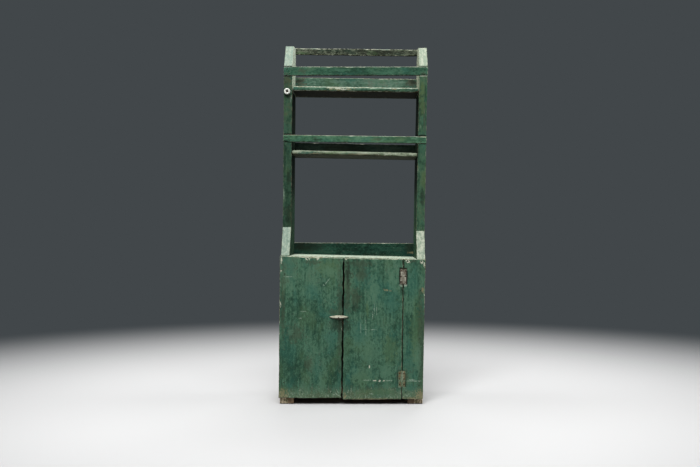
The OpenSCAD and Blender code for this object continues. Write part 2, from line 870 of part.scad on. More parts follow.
module leaf_screw() {
    difference() {
        union() {
            translate([0, 0, -screw_head_t])
                cylinder(r = screw_head_r, h = screw_head_t, $fn = 24);
            translate([0, 0, -screw_l])
                cylinder(r = screw_r, h = screw_l - screw_head_t / 2, $fn = 24);
        }
        rotate([0, 0, screw_slot_turn])
            translate([-leaf_w / 2, -screw_slot_w / 2, -screw_slot_d])
                cube([leaf_w, screw_slot_w, screw_slot_d + over]);
    }
}

module upper_hinge_stile_leaf() color(steel) at_hinge(upper_hinge_z) hinge_leaf(1);
module lower_hinge_stile_leaf() color(iron) at_hinge(lower_hinge_z) hinge_leaf(1);
module upper_hinge_door_leaf() color(steel) at_hinge(upper_hinge_z) hinge_leaf(-1);
module lower_hinge_door_leaf() color(iron) at_hinge(lower_hinge_z) hinge_leaf(-1);
module upper_hinge_pin() color(steel) at_hinge(upper_hinge_z) hinge_pin();
module lower_hinge_pin() color(iron) at_hinge(lower_hinge_z) hinge_pin();
module stile_hinge_screws() color(iron) at_hinges() at_leaf_screws(1) leaf_screw();
module door_hinge_screws() color(iron) at_hinges() at_leaf_screws(-1) leaf_screw();

// Door: one wide board with two battens nailed across its back
module door_board() {
    y1 = carcass_y - door_back_gap;
    x0 = latch_seam(door_foot) + latch_gap / 2;
    x1 = hinge_seam(door_foot) - hinge_gap / 2;
    zl = front_top_middle - door_top_drop;
    zr = front_top(hinge_seam(front_top_right));
    color(green)
        difference() {
            xz_slab([
                [x0, door_foot], [x1, door_foot + door_foot_rise],
                [hinge_seam(zr) - hinge_gap / 2, zr], [latch_seam(zl) + latch_gap / 2, zl]
            ], front_y, y1);
            at_hinges() leaf_mortise(-1);
            batten_nail_holes();
        }
}

module door_batten(z) {
    y0 = carcass_y - door_back_gap;
    color(bare_wood)
        difference() {
            translate([latch_seam(z) + batten_inset, y0, z - batten_h / 2])
                cube([door_w - 2 * batten_inset, batten_t, batten_h]);
            batten_nail_holes();
        }
}

module upper_door_batten() door_batten(upper_batten_z);
module lower_door_batten() door_batten(lower_batten_z);

// Batten nails, in a zigzag given as shares of the batten's length and height
batten_nail_spots = [[0.1, 0.2], [0.37, -0.2], [0.63, 0.2], [0.9, -0.2]];
batten_nail_bite = 15;
batten_nail_l = batten_t + batten_nail_bite;
module at_batten_nails() {
    for (z = [lower_batten_z, upper_batten_z], spot = batten_nail_spots) {
        x0 = latch_seam(z) + batten_inset;
        x = x0 + spot[0] * (door_w - 2 * batten_inset);
        translate([x, carcass_y - door_back_gap + batten_t, z + spot[1] * batten_h])
            to_back() children();
    }
}

module batten_nail_holes() at_batten_nails() nail_hole(batten_nail_l - over);
module door_batten_nails() color(iron) at_batten_nails() nail(batten_nail_l);

// Arc over a chord of twice half, rising from base by rise, in steps
function crown(half, base, rise, steps) =
    let (r = (half * half + rise * rise) / (2 * rise), a = asin(half / r))
    [for (i = [0 : steps]) let (t = a * (2 * i / steps - 1)) [r * sin(t), base + rise - r + r * cos(t)]];

// Turn button: a whittled lens with a crowned front, turning on its nail
button_tip_h = 2;
outline_steps = 14;
length_steps = 10;
height_steps = 6;
module turn_button() {
    half_l = button_l / 2;
    half_h = button_h / 2;
    drop = button_t - button_tip_t;
    upper = crown(half_l, button_tip_h, half_h - button_tip_h, outline_steps);
    lower = [for (i = [len(upper) - 1 : -1 : 0]) [upper[i][0], -upper[i][1]]];
    along = crown(half_l, button_tip_t, drop, length_steps);
    across = crown(half_h, button_tip_t, drop, height_steps);
    color(pale_wood)
        translate([button_x, front_y - button_gap, button_z]) to_front()
            difference() {
                intersection() {
                    linear_extrude(button_t)
                        polygon(concat(upper, lower));
                    translate([0, button_h, 0]) rotate([90, 0, 0])
                        linear_extrude(2 * button_h)
                            polygon(concat(along, [[half_l, 0], [-half_l, 0]]));
                    translate([-button_l, 0, 0]) rotate([90, 0, 90])
                        linear_extrude(2 * button_l)
                            polygon(concat(across, [[half_h, 0], [-half_h, 0]]));
                }
                translate([0, 0, -over])
                    cylinder(r = button_nail_r + pin_gap, h = button_t + 2 * over);
            }
}

button_nail_bite = 17;
button_nail_l = 2 * button_gap + button_t + button_nail_bite;
module turn_button_nail() {
    color(iron)
        translate([button_x, front_y - 2 * button_gap - button_t, button_z]) to_front() {
            cylinder(r = button_head_r, h = button_head_t);
            translate([0, 0, -button_nail_l])
                cylinder(r = button_nail_r, h = button_nail_l + button_head_t / 2);
        }
}

module button_nail_hole() {
    translate([0, 0, -front_t - over])
        cylinder(r = button_nail_r + nail_gap, h = front_t + 2 * over);
}

left_side();
right_side();
top_back_rail();
top_front_rail();
top_shelf();
top_shelf_back_rail();
middle_front_rail();
middle_shelf();
middle_shelf_back_rail();
counter_top();
counter_back_rail();
left_front_board();
right_front_stile();
left_front_post();
right_front_post();
bottom_board();
inner_shelf();
left_bottom_cleat();
right_bottom_cleat();
left_shelf_cleat();
right_shelf_cleat();
back_plank_1();
back_plank_2();
back_plank_3();
back_plank_4();
front_nails();
rail_nails();
back_rail_nails();
shelf_nails();
cleat_nails();
plank_nails();
porcelain_ring();
porcelain_ring_screw();
upper_hinge_stile_leaf();
lower_hinge_stile_leaf();
upper_hinge_pin();
lower_hinge_pin();
stile_hinge_screws();
turn_button_nail();
door_board();
upper_door_batten();
lower_door_batten();
door_batten_nails();
upper_hinge_door_leaf();
lower_hinge_door_leaf();
door_hinge_screws();
turn_button();
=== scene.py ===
# Painted farmhouse cupboard with an open rack: worn boards, old paint and small ironwork
import bmesh
import bpy
import numpy as np
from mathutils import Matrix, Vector


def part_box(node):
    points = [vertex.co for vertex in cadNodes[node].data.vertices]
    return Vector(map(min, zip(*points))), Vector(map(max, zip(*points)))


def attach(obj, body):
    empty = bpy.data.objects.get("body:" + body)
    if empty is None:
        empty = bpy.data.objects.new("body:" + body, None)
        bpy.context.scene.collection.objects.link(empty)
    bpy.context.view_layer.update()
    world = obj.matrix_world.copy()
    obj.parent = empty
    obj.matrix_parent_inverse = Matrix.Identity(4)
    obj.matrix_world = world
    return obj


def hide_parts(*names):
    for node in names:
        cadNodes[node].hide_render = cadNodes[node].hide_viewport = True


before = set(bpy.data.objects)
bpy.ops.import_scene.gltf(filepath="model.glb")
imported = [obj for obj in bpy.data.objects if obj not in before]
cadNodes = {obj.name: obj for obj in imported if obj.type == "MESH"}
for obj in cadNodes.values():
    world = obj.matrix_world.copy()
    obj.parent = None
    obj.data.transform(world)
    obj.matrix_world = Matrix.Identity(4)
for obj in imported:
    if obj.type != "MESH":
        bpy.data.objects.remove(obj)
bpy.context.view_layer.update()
print("frame loaded:", len(cadNodes), "nodes")


# Small helpers for numbers

def smoothStep(low, high, value):
    # 0 below low, 1 above high, and 3t^2 - 2t^3 between them
    t = np.clip((value - low) / (high - low), 0, 1)
    return t * t * (3 - 2 * t)


cellFactors = np.array([73856093, 19349663, 83492791])  # large and odd, so that neighbours differ


def cellValue(cell, seed):
    # a fixed value from 0 to 1 for every whole-number cell, from mixed-up integer products
    mixed = (cell @ cellFactors + seed * 2654435) & 0x7FFFFFFF
    mixed = ((mixed ^ (mixed >> 13)) * 1274126177) & 0x7FFFFFFF
    return ((mixed ^ (mixed >> 16)) & 0xFFFF) / 0xFFFF


def cellNoise(points, seed):
    # the values of the eight cells around a point, blended by 3t^2 - 2t^3 along each axis
    base = np.floor(points).astype(np.int64)
    part = smoothStep(0, 1, points - base)
    total = np.zeros(len(points))
    for corner in np.ndindex(2, 2, 2):
        weight = np.prod(np.where(corner, part, 1 - part), axis=1)
        total += weight * cellValue(base + np.array(corner), seed)
    return total


def layeredNoise(points, size, seed, layers=3):
    # layers of noise, each half as large and half as strong as the last, from -1 to 1
    scaled = points / np.array(size)
    total = sum(cellNoise(scaled * 2 ** k, seed + k) / 2 ** k for k in range(layers))
    return total / (1 - 0.5 ** layers) - 1


def turnAngles(count):
    return 2 * np.pi * np.arange(count) / count


def nodePoints(node):
    mesh = cadNodes[node].data
    flat = np.empty(len(mesh.vertices) * 3)
    mesh.vertices.foreach_get("co", flat)
    return flat.reshape(-1, 3)


# Small helpers for meshes

def showPiece(name, mesh, body, node, finish):
    mesh.polygons.foreach_set("use_smooth", np.full(len(mesh.polygons), True))
    mesh.update()
    mesh.materials.append(finish)
    piece = bpy.data.objects.new(name, mesh)
    bpy.context.scene.collection.objects.link(piece)
    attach(piece, body)
    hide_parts(node)
    return piece


def newPiece(name, points, faces, body, node, finish):
    mesh = bpy.data.meshes.new(name)
    mesh.from_pydata(points.reshape(-1, 3).tolist(), [], faces.tolist())
    return showPiece(name, mesh, body, node, finish)


def closeShell(piece):
    # welds points that lie on one another and turns all faces outwards
    shape = bmesh.new()
    shape.from_mesh(piece.data)
    bmesh.ops.remove_doubles(shape, verts=shape.verts, dist=1e-7)
    bmesh.ops.recalc_face_normals(shape, faces=shape.faces)
    shape.to_mesh(piece.data)
    shape.free()


def wrapQuads(number):
    # quads between the rows of a grid of point numbers that closes round its last axis
    side = np.roll(number, -1, axis=-1)
    low, high = number[..., :-1, :], number[..., 1:, :]
    return np.stack([low, side[..., :-1, :], side[..., 1:, :], high], axis=-1).reshape(-1, 4)


def giveAttribute(piece, name, values):
    kind, key = ("FLOAT_VECTOR", "vector") if values.ndim == 2 else ("FLOAT", "value")
    piece.data.attributes.new(name, kind, "POINT").data.foreach_set(key, values.ravel())


def shellGrid(counts):
    # numbers the points on the skin of a block of stations, and joins them in quads that face outwards
    index = np.indices(counts)
    last = np.array(counts).reshape(3, 1, 1, 1) - 1
    skin = ((index == 0) | (index == last)).any(axis=0)
    number = np.full(counts, -1)
    number[skin] = np.arange(skin.sum())
    quads = []
    for axis in range(3):
        for end in (0, -1):
            sheet = number.take(end, axis=axis)
            sheet = sheet.T if axis == 1 else sheet
            quad = np.stack([sheet[:-1, :-1], sheet[1:, :-1], sheet[1:, 1:], sheet[:-1, 1:]], axis=-1)
            quads.append(quad.reshape(-1, 4) if end else quad.reshape(-1, 4)[:, ::-1])
    return skin, np.concatenate(quads)


# Worn boards

arrisSteps = np.array([0, 0.0007, 0.0016, 0.003, 0.005, 0.0085])
closestSteps = 0.00015
boardShift = (1.7, 0.9, 0.4)  # metres between one seed's board and the next in the pattern
wornUsually = {
    "seed": 1, "step": 0.006, "round": 0.0016, "roundVaries": 0.4, "nose": 0, "noseFade": (0.03, 0.012),
    "bite": 0.003, "biteFrom": 0.15, "biteFade": 0.35, "biteSize": (0.03, 0.02, 0.02), "wander": 0.0006,
    "wanderLength": 0.09, "warp": 0.0005, "warpSize": (0.3, 0.09, 0.5), "planed": 0.00012,
    "planedSize": (0.05, 0.012, 0.5), "endTrim": 0,
    "lines": {},
}


def stations(length, step, extra=()):
    # distances along one edge of a board: close together at both arrises, a step apart between
    fine = arrisSteps * min(1, length * 0.45 / arrisSteps[-1])
    inner = length - 2 * fine[-1]
    count = max(1, int(round(inner / step)))
    middle = fine[-1] + inner * np.arange(1, count) / count
    every = np.concatenate([fine, middle, length - fine, [e for e in extra if 0 < e < length]])
    every = np.unique(np.round(every, 6))
    return every[np.append(True, np.diff(every) > closestSteps)]


def wornBlock(size, lines, worn):
    # The skin of a sawn board in its own frame (length, width, thickness). Every point is pulled in
    # to a rounding: q is the point kept r away from all faces, and the point moves to q + r * unit(p - q).
    # r grows where noise says that the arris is knocked off. Edges wander and faces warp by noise.
    skin, quads = shellGrid([len(line) for line in lines])
    grid = np.stack(np.meshgrid(*lines, indexing="ij"), axis=-1)[skin]
    size = np.array(size)
    arris = np.sort(np.minimum(grid, size - grid), axis=1)[:, 1]
    seed = worn["seed"]
    place = grid + seed * np.array(boardShift)
    bites = layeredNoise(place, worn["biteSize"], seed + 5)
    radius = worn["round"] * (1 + worn["roundVaries"] * layeredNoise(place, (0.05, 0.03, 0.03), seed))
    radius = radius + worn["bite"] * smoothStep(worn["biteFrom"], worn["biteFrom"] + worn["biteFade"], bites)
    radius = radius + worn["nose"] * smoothStep(*worn["noseFade"], grid[:, 1])
    radius = np.minimum(radius[:, None], size * 0.45)
    kept = np.clip(grid, radius, size - radius)
    away = (grid - kept) / radius
    length = np.linalg.norm(away, axis=1, keepdims=True)
    moved = np.where(length > 1e-9, kept + radius * away / np.maximum(length, 1e-9), grid)
    share = grid / size
    for axis, other in ((0, 1), (1, 0), (2, 0)):
        line = np.zeros_like(grid)
        line[:, 0] = grid[:, other]
        low = layeredNoise(line + seed, (worn["wanderLength"],) * 3, seed + 20 + axis, 2)
        high = layeredNoise(line - seed, (worn["wanderLength"],) * 3, seed + 30 + axis, 2)
        amount = worn["wander"] * (0.5 if axis == 2 else 1)
        moved[:, axis] += amount * (low * (1 - share[:, axis]) + high * share[:, axis])
    moved[:, 2] += worn["warp"] * layeredNoise(place, worn["warpSize"], seed + 40, 2)
    moved[:, 2] += worn["planed"] * layeredNoise(place, worn["planedSize"], seed + 41, 1)
    return moved, quads, place, arris


def finishBoard(name, points, quads, place, arris, body, node, finish):
    a, b, c = points[quads[0][:3]]
    outwards = np.dot(np.cross(b - a, c - a), a - points.mean(axis=0)) > 0
    piece = newPiece(name, points, quads if outwards else quads[:, ::-1], body, node, finish)
    giveAttribute(piece, "boardPlace", place)
    giveAttribute(piece, "arris", arris)


def outlineCorners(node):
    # the lower left, lower right, upper right and upper left corner of a board's outline in x and z
    points = nodePoints(node)
    flat = points[:, [0, 2]]
    across, up = ((flat - flat.min(axis=0)) / np.ptp(flat, axis=0)).T
    picks = [np.argmin(across + up), np.argmax(across - up), np.argmax(across + up), np.argmin(across - up)]
    return flat[picks], points[:, 1].min(), points[:, 1].max()


def outlineSize(corners):
    # mean width and mean height between four corners
    across = corners[[1, 2]] - corners[[0, 3]]
    up = corners[[3, 2]] - corners[[0, 1]]
    return np.linalg.norm(across, axis=1).mean(), np.linalg.norm(up, axis=1).mean()


def sawnBoard(node, name, run, body, finish, worn, cuts=()):
    # A board between the eight corners of its CAD node: the worn block's shares along x, y and z
    # are blended between the corners. run names the axes of its length, width and thickness.
    worn = {**wornUsually, **worn}
    corners, y0, y1 = outlineCorners(node)
    corners = corners + np.array([[1, 0], [-1, 0], [-1, 0], [1, 0]]) * worn["endTrim"]
    wide, high = outlineSize(corners)
    sizes = {"x": wide, "y": y1 - y0, "z": high}
    size = [sizes[axis] for axis in run]
    lines = [stations(sizes[axis], worn["step"], worn["lines"].get(axis, ())) for axis in run]
    moved, quads, place, arris = wornBlock(size, lines, worn)
    sx, sy, sz = (moved[:, [run.index(axis)]] / sizes[axis] for axis in "xyz")
    lower = corners[0] + sx * (corners[1] - corners[0])
    upper = corners[3] + sx * (corners[2] - corners[3])
    xz = lower + sz * (upper - lower)
    points = np.column_stack([xz[:, 0], (y0 + sy * (y1 - y0))[:, 0], xz[:, 1]])
    for low, top, depth in cuts:
        inside = (points[:, 0] > low[0]) & (points[:, 0] < top[0]) & (points[:, 1] < depth)
        inside &= (points[:, 2] > low[1]) & (points[:, 2] < top[1])
        points[inside, 1] = depth
    finishBoard(name, points, quads, place, arris, body, node, finish)


# Shader wires: arithmetic on a wire adds Math nodes

class Wire:
    def __init__(self, finish, socket):
        self.finish = finish
        self.socket = socket

    def maths(self, operation, *others, first=None):
        inputs = [self, *others] if first is None else [first, self]
        return self.finish.node("ShaderNodeMath", {"operation": operation}, inputs)

    def __add__(self, other):
        return self.maths("ADD", other)

    def __sub__(self, other):
        return self.maths("SUBTRACT", other)

    def __mul__(self, other):
        return self.maths("MULTIPLY", other)

    def __rsub__(self, other):
        return self.maths("SUBTRACT", first=other)

    __radd__ = __add__
    __rmul__ = __mul__

    def atLeast(self, other):
        return self.maths("MAXIMUM", other)

    def swing(self, amount):
        # a noise's swing to both sides of its middle
        return (self - 0.5) * amount


def linearColour(colour):
    # a colour as seen on a screen, three numbers from 0 to 255, made linear
    part = np.array(colour) / 255
    linear = np.where(part <= 0.04045, part / 12.92, ((part + 0.055) / 1.055) ** 2.4)
    return (*linear.tolist(), 1)


class Finish:
    # the node tree of a new material, or of the world
    def __init__(self, name, owner=None):
        self.owner = owner or bpy.data.materials.new(name)
        self.owner.use_nodes = True
        self.tree = self.owner.node_tree
        self.shader = self.tree.nodes.get("Principled BSDF")

    def put(self, made, key, value):
        if isinstance(value, Wire):
            self.tree.links.new(value.socket, made.inputs[key])
        else:
            isColour = made.inputs[key].type == "RGBA"
            made.inputs[key].default_value = linearColour(value) if isColour else value

    def node(self, kind, settings, inputs, output=0):
        made = self.tree.nodes.new(kind)
        for key, value in settings.items():
            if key == "stops":
                while len(made.color_ramp.elements) < len(value):
                    made.color_ramp.elements.new(0.5)
                for element, (position, colour) in zip(made.color_ramp.elements, value):
                    element.position = position
                    element.color = linearColour(colour)
            else:
                setattr(made, key, value)
        pairs = inputs.items() if isinstance(inputs, dict) else enumerate(inputs)
        for key, value in pairs:
            self.put(made, key, value)
        return Wire(self, made.outputs[output])

    def attribute(self, name, output="Vector"):
        return self.node("ShaderNodeAttribute", {"attribute_name": name}, {}, output)

    def objectPlace(self):
        return self.node("ShaderNodeTexCoord", {}, {}, "Object")

    def part(self, vector, axis):
        return self.node("ShaderNodeSeparateXYZ", {}, [vector], axis)

    def noise(self, place, size, detail, rough, twist=0.0, shift=0.0):
        # size gives the length of a feature along each axis in metres
        values = {"Vector": place, "Scale": [1 / s for s in size], "Location": (shift,) * 3}
        mapped = self.node("ShaderNodeMapping", {}, values)
        values = {"Vector": mapped, "Scale": 1.0, "Detail": detail, "Roughness": rough, "Distortion": twist}
        return self.node("ShaderNodeTexNoise", {}, values)

    def rise(self, value, low, high):
        # 0 below low, 1 above high, smooth between; a low above high turns it round
        settings = {"interpolation_type": "SMOOTHSTEP"}
        return self.node("ShaderNodeMapRange", settings, {"Value": value, "From Min": low, "From Max": high})

    def mix(self, share, first, second):
        return self.node("ShaderNodeMix", {"data_type": "RGBA"}, {0: share, 6: first, 7: second}, 2)

    def layers(self, colour, look, rows):
        # lays colours of the look over one another, each as strongly as its cover says
        for tint, cover in rows:
            colour = self.mix(cover, colour, look[tint])
        return colour

    def ramp(self, value, look, spread):
        # deep, middle and light tones of the look, a spread apart
        stops = [(0.5 - spread, look["deep"]), (0.5, look["middle"]), (0.5 + spread, look["light"])]
        return self.node("ShaderNodeValToRGB", {"stops": stops}, [value])

    def nearest(self, place, rows):
        # How deep a point lies in the nearest ellipse: 1 in its middle, 0 on its rim. A row gives the x and
        # z of its middle, half its width and height in millimetres, and perhaps a turn in degrees.
        depth = None
        for x, z, halfWide, halfHigh, *turn in rows:
            values = {
                "Vector": place, "Location": (x / 1000, 0, z / 1000),
                "Rotation": (0, np.radians(sum(turn)), 0), "Scale": (halfWide / 1000, 1000, halfHigh / 1000),
            }
            mapped = self.node("ShaderNodeMapping", {"vector_type": "TEXTURE"}, values)
            away = self.node("ShaderNodeVectorMath", {"operation": "LENGTH"}, [mapped], "Value")
            depth = 1 - away if depth is None else depth.atLeast(1 - away)
        return depth

    def done(self, colour, rough, height=None, depth=0.001, **constants):
        links = {"Base Color": colour, "Roughness": rough, **constants}
        if height is not None:
            bump = {"Distance": depth, "Height": height}
            links["Normal"] = self.node("ShaderNodeBump", {}, bump, "Normal")
        for key, value in links.items():
            self.put(self.shader, key, value)
        return self.owner

    def show(self, surface):
        ends = [end for end in self.tree.nodes if "Output" in end.name]
        self.tree.links.new(surface.socket, ends[0].inputs["Surface"])
        return self.owner

    def eyes(self):
        # 1 for what the camera sees straight or in a reflection, 0 for light on its way to something else
        seen = self.node("ShaderNodeLightPath", {}, {}, "Is Camera Ray")
        return seen.atLeast(self.node("ShaderNodeLightPath", {}, {}, "Is Glossy Ray"))


# Old paint

dry = {"Specular IOR Level": 0.03}
boardBump = 0.0012
# Some of these colours stand in for light and shade: pale and cream on faces that look up carry dust with a
# painted sheen, dark on faces that look down is painted shade, gap on edges at narrow gaps is painted shade,
# and the bright foot colour on the feet's front faces is painted light.
paintUsually = {
    "deep": (40, 68, 54), "middle": (60, 94, 75), "light": (82, 117, 95), "contrast": 0.067,
    "teal": (48, 95, 83), "tealShare": 0.4, "moss": (76, 100, 68), "mossShare": 0.3,
    "pale": (150, 170, 152), "cream": (192, 194, 174), "dark": (26, 32, 26), "gap": (8, 8, 6),
    "tan": (140, 130, 98), "brown": (84, 68, 50), "scoured": (112, 124, 96), "lowestDark": (40, 32, 25),
    "footFrontLit": (250, 230, 196), "footSide": (150, 130, 102), "footTop": 0.0, "grime": (61, 72, 57),
    "grimeShare": 0.45, "fleckShare": 0.42, "dustAndSheenShare": 0.9, "undersideShadeShare": 0.8, "scuffShare": 0.0,
    "wear": 0.004, "wearPale": 0.5, "rubbed": 0.0, "edgeReach": 0.0, "roughness": 0.6, "splash": None,
    "inside": None, "bareBehind": None, "front": None,
}
paintNoise = {
    # length of a feature along, across and through the board, then detail, roughness, twist and shift
    "patch": ((0.24, 0.09, 0.09), 3, 0.5), "streak": ((0.14, 0.01, 0.01), 4, 0.6),
    "hair": ((0.045, 0.0024, 0.0024), 3, 0.6), "mottle": ((0.019, 0.014, 0.014), 5, 0.72, 0.5),
    "fleck": ((0.012, 0.0085, 0.0085), 3, 0.62), "speck": ((0.006, 0.0034, 0.0034), 3, 0.6),
    "hue": ((0.15, 0.07, 0.07), 4, 0.55, 0.0, 7.3), "ragged": ((0.035, 0.012, 0.012), 6, 0.68, 0.6, 3.1),
    "scuff": ((0.11, 0.035, 0.035), 6, 0.7, 0.8, 5.7), "grain": ((0.35, 0.012, 0.012), 4, 0.6, 0.0, 9.1),
}
markKinds = {
    # the colour of each kind, how strongly it covers, how soft its rim is and how ragged. The kind of soft
    # dark patches is mostly painted shade under and beside parts and at rail ends, with a few dark dirt
    # patches; the kind of thin dark lines is mostly painted shade in the gaps round hinges and at rail
    # notches, with a few lines of dirt
    "teal": ("teal", 0.45, 0.9, 1), "moss": ("moss", 0.5, 0.9, 1), "grime": ("grime", 0.6, 0.8, 1),
    "shadowAndDirt": ("dark", 0.62, 0.9, 1), "shadeAndDirtLine": ("dark", 0.8, 0.3, 0.6), "light": ("light", 0.5, 0.7, 1),
    "scratch": ("pale", 0.5, 0.6, 1.5), "tan": ("tan", 0.6, 0.5, 1.7), "cream": ("cream", 0.85, 0.35, 1.5),
}
woodUsually = {
    "deep": (92, 72, 52), "middle": (134, 110, 82), "light": (166, 142, 110), "ring": (84, 63, 44),
    "grey": (124, 116, 102), "greyShare": 0.5, "dark": (50, 40, 31), "roughness": 0.74,
}


def paintMarks(f, place, normal, wobble, tatter, look, marks, colour):
    # lays the listed marks over the front, and tells where wood or ground coat shows
    onFront = f.rise(f.part(normal, 1), -0.15, -0.5)
    if look["front"] is not None:
        onFront = onFront * f.rise(f.part(place, 1), look["front"] + 0.004, look["front"] + 0.002)
    chipped = None
    # the soft dark patches and thin dark lines among these marks are mostly painted shade
    for kind, (tint, share, soft, ragged) in markKinds.items():
        if kind in marks:
            near = f.nearest(place, marks[kind]) + (wobble if soft > 0.6 else tatter) * ragged
            found = f.rise(near, 0.15 - soft * 0.5, 0.15 + soft * 0.5) * onFront
            colour = f.mix(found * share, colour, look[tint])
            if kind in ("tan", "cream"):
                chipped = found if chipped is None else chipped.atLeast(found)
    return colour, chipped


def oldPaint(name, look, marks):
    # Layers of green in long streaks and soft patches, worn off at the arrises, paler where it faces up, as
    # dust with a painted sheen of the light from above, and darker where it faces down, a painted shade
    look = {**paintUsually, **look}
    f = Finish(name)
    board = f.attribute("boardPlace")
    place = f.objectPlace()
    normal = f.node("ShaderNodeNewGeometry", {}, {}, "Normal")
    high = f.part(place, 2)
    upwards = f.part(normal, 2)
    noises = [f.noise(board, *row) for row in paintNoise.values()]
    patch, streak, hair, mottle, fleck, speck, hue, ragged, scuff, grain = noises
    darkFleck = f.rise(fleck + mottle * 0.5, 0.8, 0.98) * look["fleckShare"]
    colour = f.ramp(patch * 0.32 + streak * 0.2 + mottle * 0.48, look, look["contrast"])
    colour = f.layers(colour, look, [
        ("teal", f.rise(hue, 0.52, 0.66) * look["tealShare"]),
        ("moss", f.rise(hue, 0.47, 0.35) * look["mossShare"]),
        ("deep", f.rise(hair, 0.5, 0.7) * 0.22),
        ("dark", darkFleck),
        ("light", f.rise(fleck + streak * 0.6, 0.72, 0.56) * look["fleckShare"] * 0.5),
        ("pale", f.rise(speck + fleck * 0.6, 0.98, 1.08) * 0.5),
        ("grime", f.rise(mottle + patch * 0.7, 0.9, 1.08) * look["grimeShare"]),
    ])
    if look["splash"]:
        # scoured by wet floors and brooms towards the lower edge
        splash = f.rise(high + mottle.swing(0.1) + streak.swing(0.1), *look["splash"])
        colour = f.layers(colour, look, [
            ("scoured", splash * 0.5),
            ("deep", f.rise(speck + fleck, 0.96, 0.82) * splash * 0.5),
            ("pale", f.rise(speck + fleck, 1.06, 1.2) * splash * 0.7),
        ])
    wobble = mottle.swing(2.2) + fleck.swing(2.4)
    tatter = mottle.swing(1.0) + fleck.swing(2.0) + speck.swing(2.2)
    colour, chipped = paintMarks(f, place, normal, wobble, tatter, look, marks, colour)
    # faces that look down are darkened towards dark and brown: painted shade
    undersideShade = f.mix(f.rise(streak + mottle.swing(0.6), 0.46, 0.62) * 0.35, look["dark"], look["brown"])
    colour = f.mix(f.rise(upwards, -0.3, -0.75) * look["undersideShadeShare"], colour, undersideShade)
    # faces that look up turn pale: dust, with a painted sheen of the light from above
    dustAndSheen = f.rise(upwards + mottle.swing(0.4), 0.18, 0.6) * look["dustAndSheenShare"]
    dustAndSheenTint = f.mix(f.rise(mottle + streak * 0.5, 0.7, 0.84), look["pale"], look["cream"])
    dustAndSheenTint = f.mix(f.rise(fleck + mottle * 0.5, 0.84, 0.96) * 0.4, dustAndSheenTint, look["grime"])
    colour = f.mix(dustAndSheen, colour, dustAndSheenTint)
    if look["scuffShare"]:
        scuffed = f.rise(scuff + fleck.swing(0.35), 0.63, 0.7)
        colour = f.mix(scuffed * look["scuffShare"], colour, look["pale"])
    inside = look["inside"]
    if inside:
        # the face towards the other side board: paler high up, partly rubbed paint and partly painted light
        # from above, and darker lower down, a painted shade under the shelves
        inward = f.rise(f.part(normal, 0) * inside["way"], 0.5, 0.8)
        upper = f.rise(high, inside["paleFrom"], inside["paleFrom"] + 0.006)
        rubbed = f.rise(mottle + streak, 1.2, 0.85) * 0.3 + 0.7
        colour = f.mix(inward * upper * rubbed, colour, inside["pale"])
        dim = (1 - upper) * f.rise(high, inside["dimFrom"], inside["dimFrom"] + 0.12)
        colour = f.mix(inward * dim * inside["dimShare"], colour, look["dark"])
    arris = f.attribute("arris", "Fac")
    bare = f.rise(ragged * 2.4 - arris * (1 / look["wear"]) + look["rubbed"], 0.75, 1.05)
    chalky = f.rise(ragged * 2.4 - arris * (0.5 / look["wear"]) + look["rubbed"], 0.85, 1.25)
    colour = f.mix(chalky * 0.3, colour, look["light"])
    wood = f.mix(f.rise(hair + mottle * 0.6, 0.7, 0.95), look["brown"], look["tan"])
    wood = f.mix(f.rise(fleck + streak * 0.6, 0.82, 0.74) * look["wearPale"], wood, look["cream"])
    colour = f.mix(bare * 0.85, colour, wood)
    if look["edgeReach"]:
        # edges that face another board across a narrow gap are darkened: painted shade of the gap
        sideways = f.rise(f.part(normal, 0).maths("ABSOLUTE"), 0.08, 0.4)
        narrow = f.rise(f.part(place, 0).maths("ABSOLUTE"), look["edgeReach"], look["edgeReach"] - 0.01)
        colour = f.mix(sideways * narrow * 0.9, colour, look["gap"])
    plain = None
    if look["bareBehind"] is not None:
        # the hidden face of a board: its depth in the board's own frame
        behind = f.part(board, 2) + fleck.swing(0.002)
        plain = f.rise(behind, look["bareBehind"] - 0.003, look["bareBehind"] - 0.001)
    if inside:
        plain = inward * f.rise(high + mottle.swing(0.03), inside["bareBelow"], inside["bareBelow"] - 0.01)
    if plain is not None:
        sawn = f.ramp(grain * 0.7 + patch * 0.3, woodUsually, 0.2)
        sawn = f.mix(f.rise(hair, 0.5, 0.72) * 0.4, sawn, woodUsually["dark"])
        colour = f.mix(plain, colour, sawn)
    if look["footTop"]:
        # feet rubbed to the wood; their faces that look forwards paler than their sides, a painted light
        # thrown up from the floor; and darker in the lowest few millimetres
        worn = high + mottle.swing(0.06) + fleck.swing(0.05) + patch.swing(0.16) + ragged.swing(0.08)
        foot = f.rise(worn, look["footTop"] + 0.008, look["footTop"] - 0.006)
        footWithLitFront = f.mix(f.rise(f.part(normal, 1), -0.3, -0.8), look["footSide"], look["footFrontLit"])
        rubbedWood = f.mix(f.rise(streak + fleck, 0.9, 1.1), footWithLitFront, look["tan"])
        colour = f.mix(foot, colour, rubbedWood)
        colour = f.mix(f.rise(high + fleck.swing(0.006), 0.006, 0.002) * 0.8, colour, look["lowestDark"])
        bare = bare.atLeast(foot)
    if chipped is not None:
        bare = bare.atLeast(chipped)
    height = streak * 0.5 + hair * 0.5 + mottle * 0.4 + fleck * 0.3 - bare * 0.4 - darkFleck * 0.3
    rough = mottle.swing(0.3) + bare * 0.2 + dustAndSheen * 0.2 + look["roughness"]
    return f.done(colour, rough, height, boardBump, **dry)


# Unpainted softwood

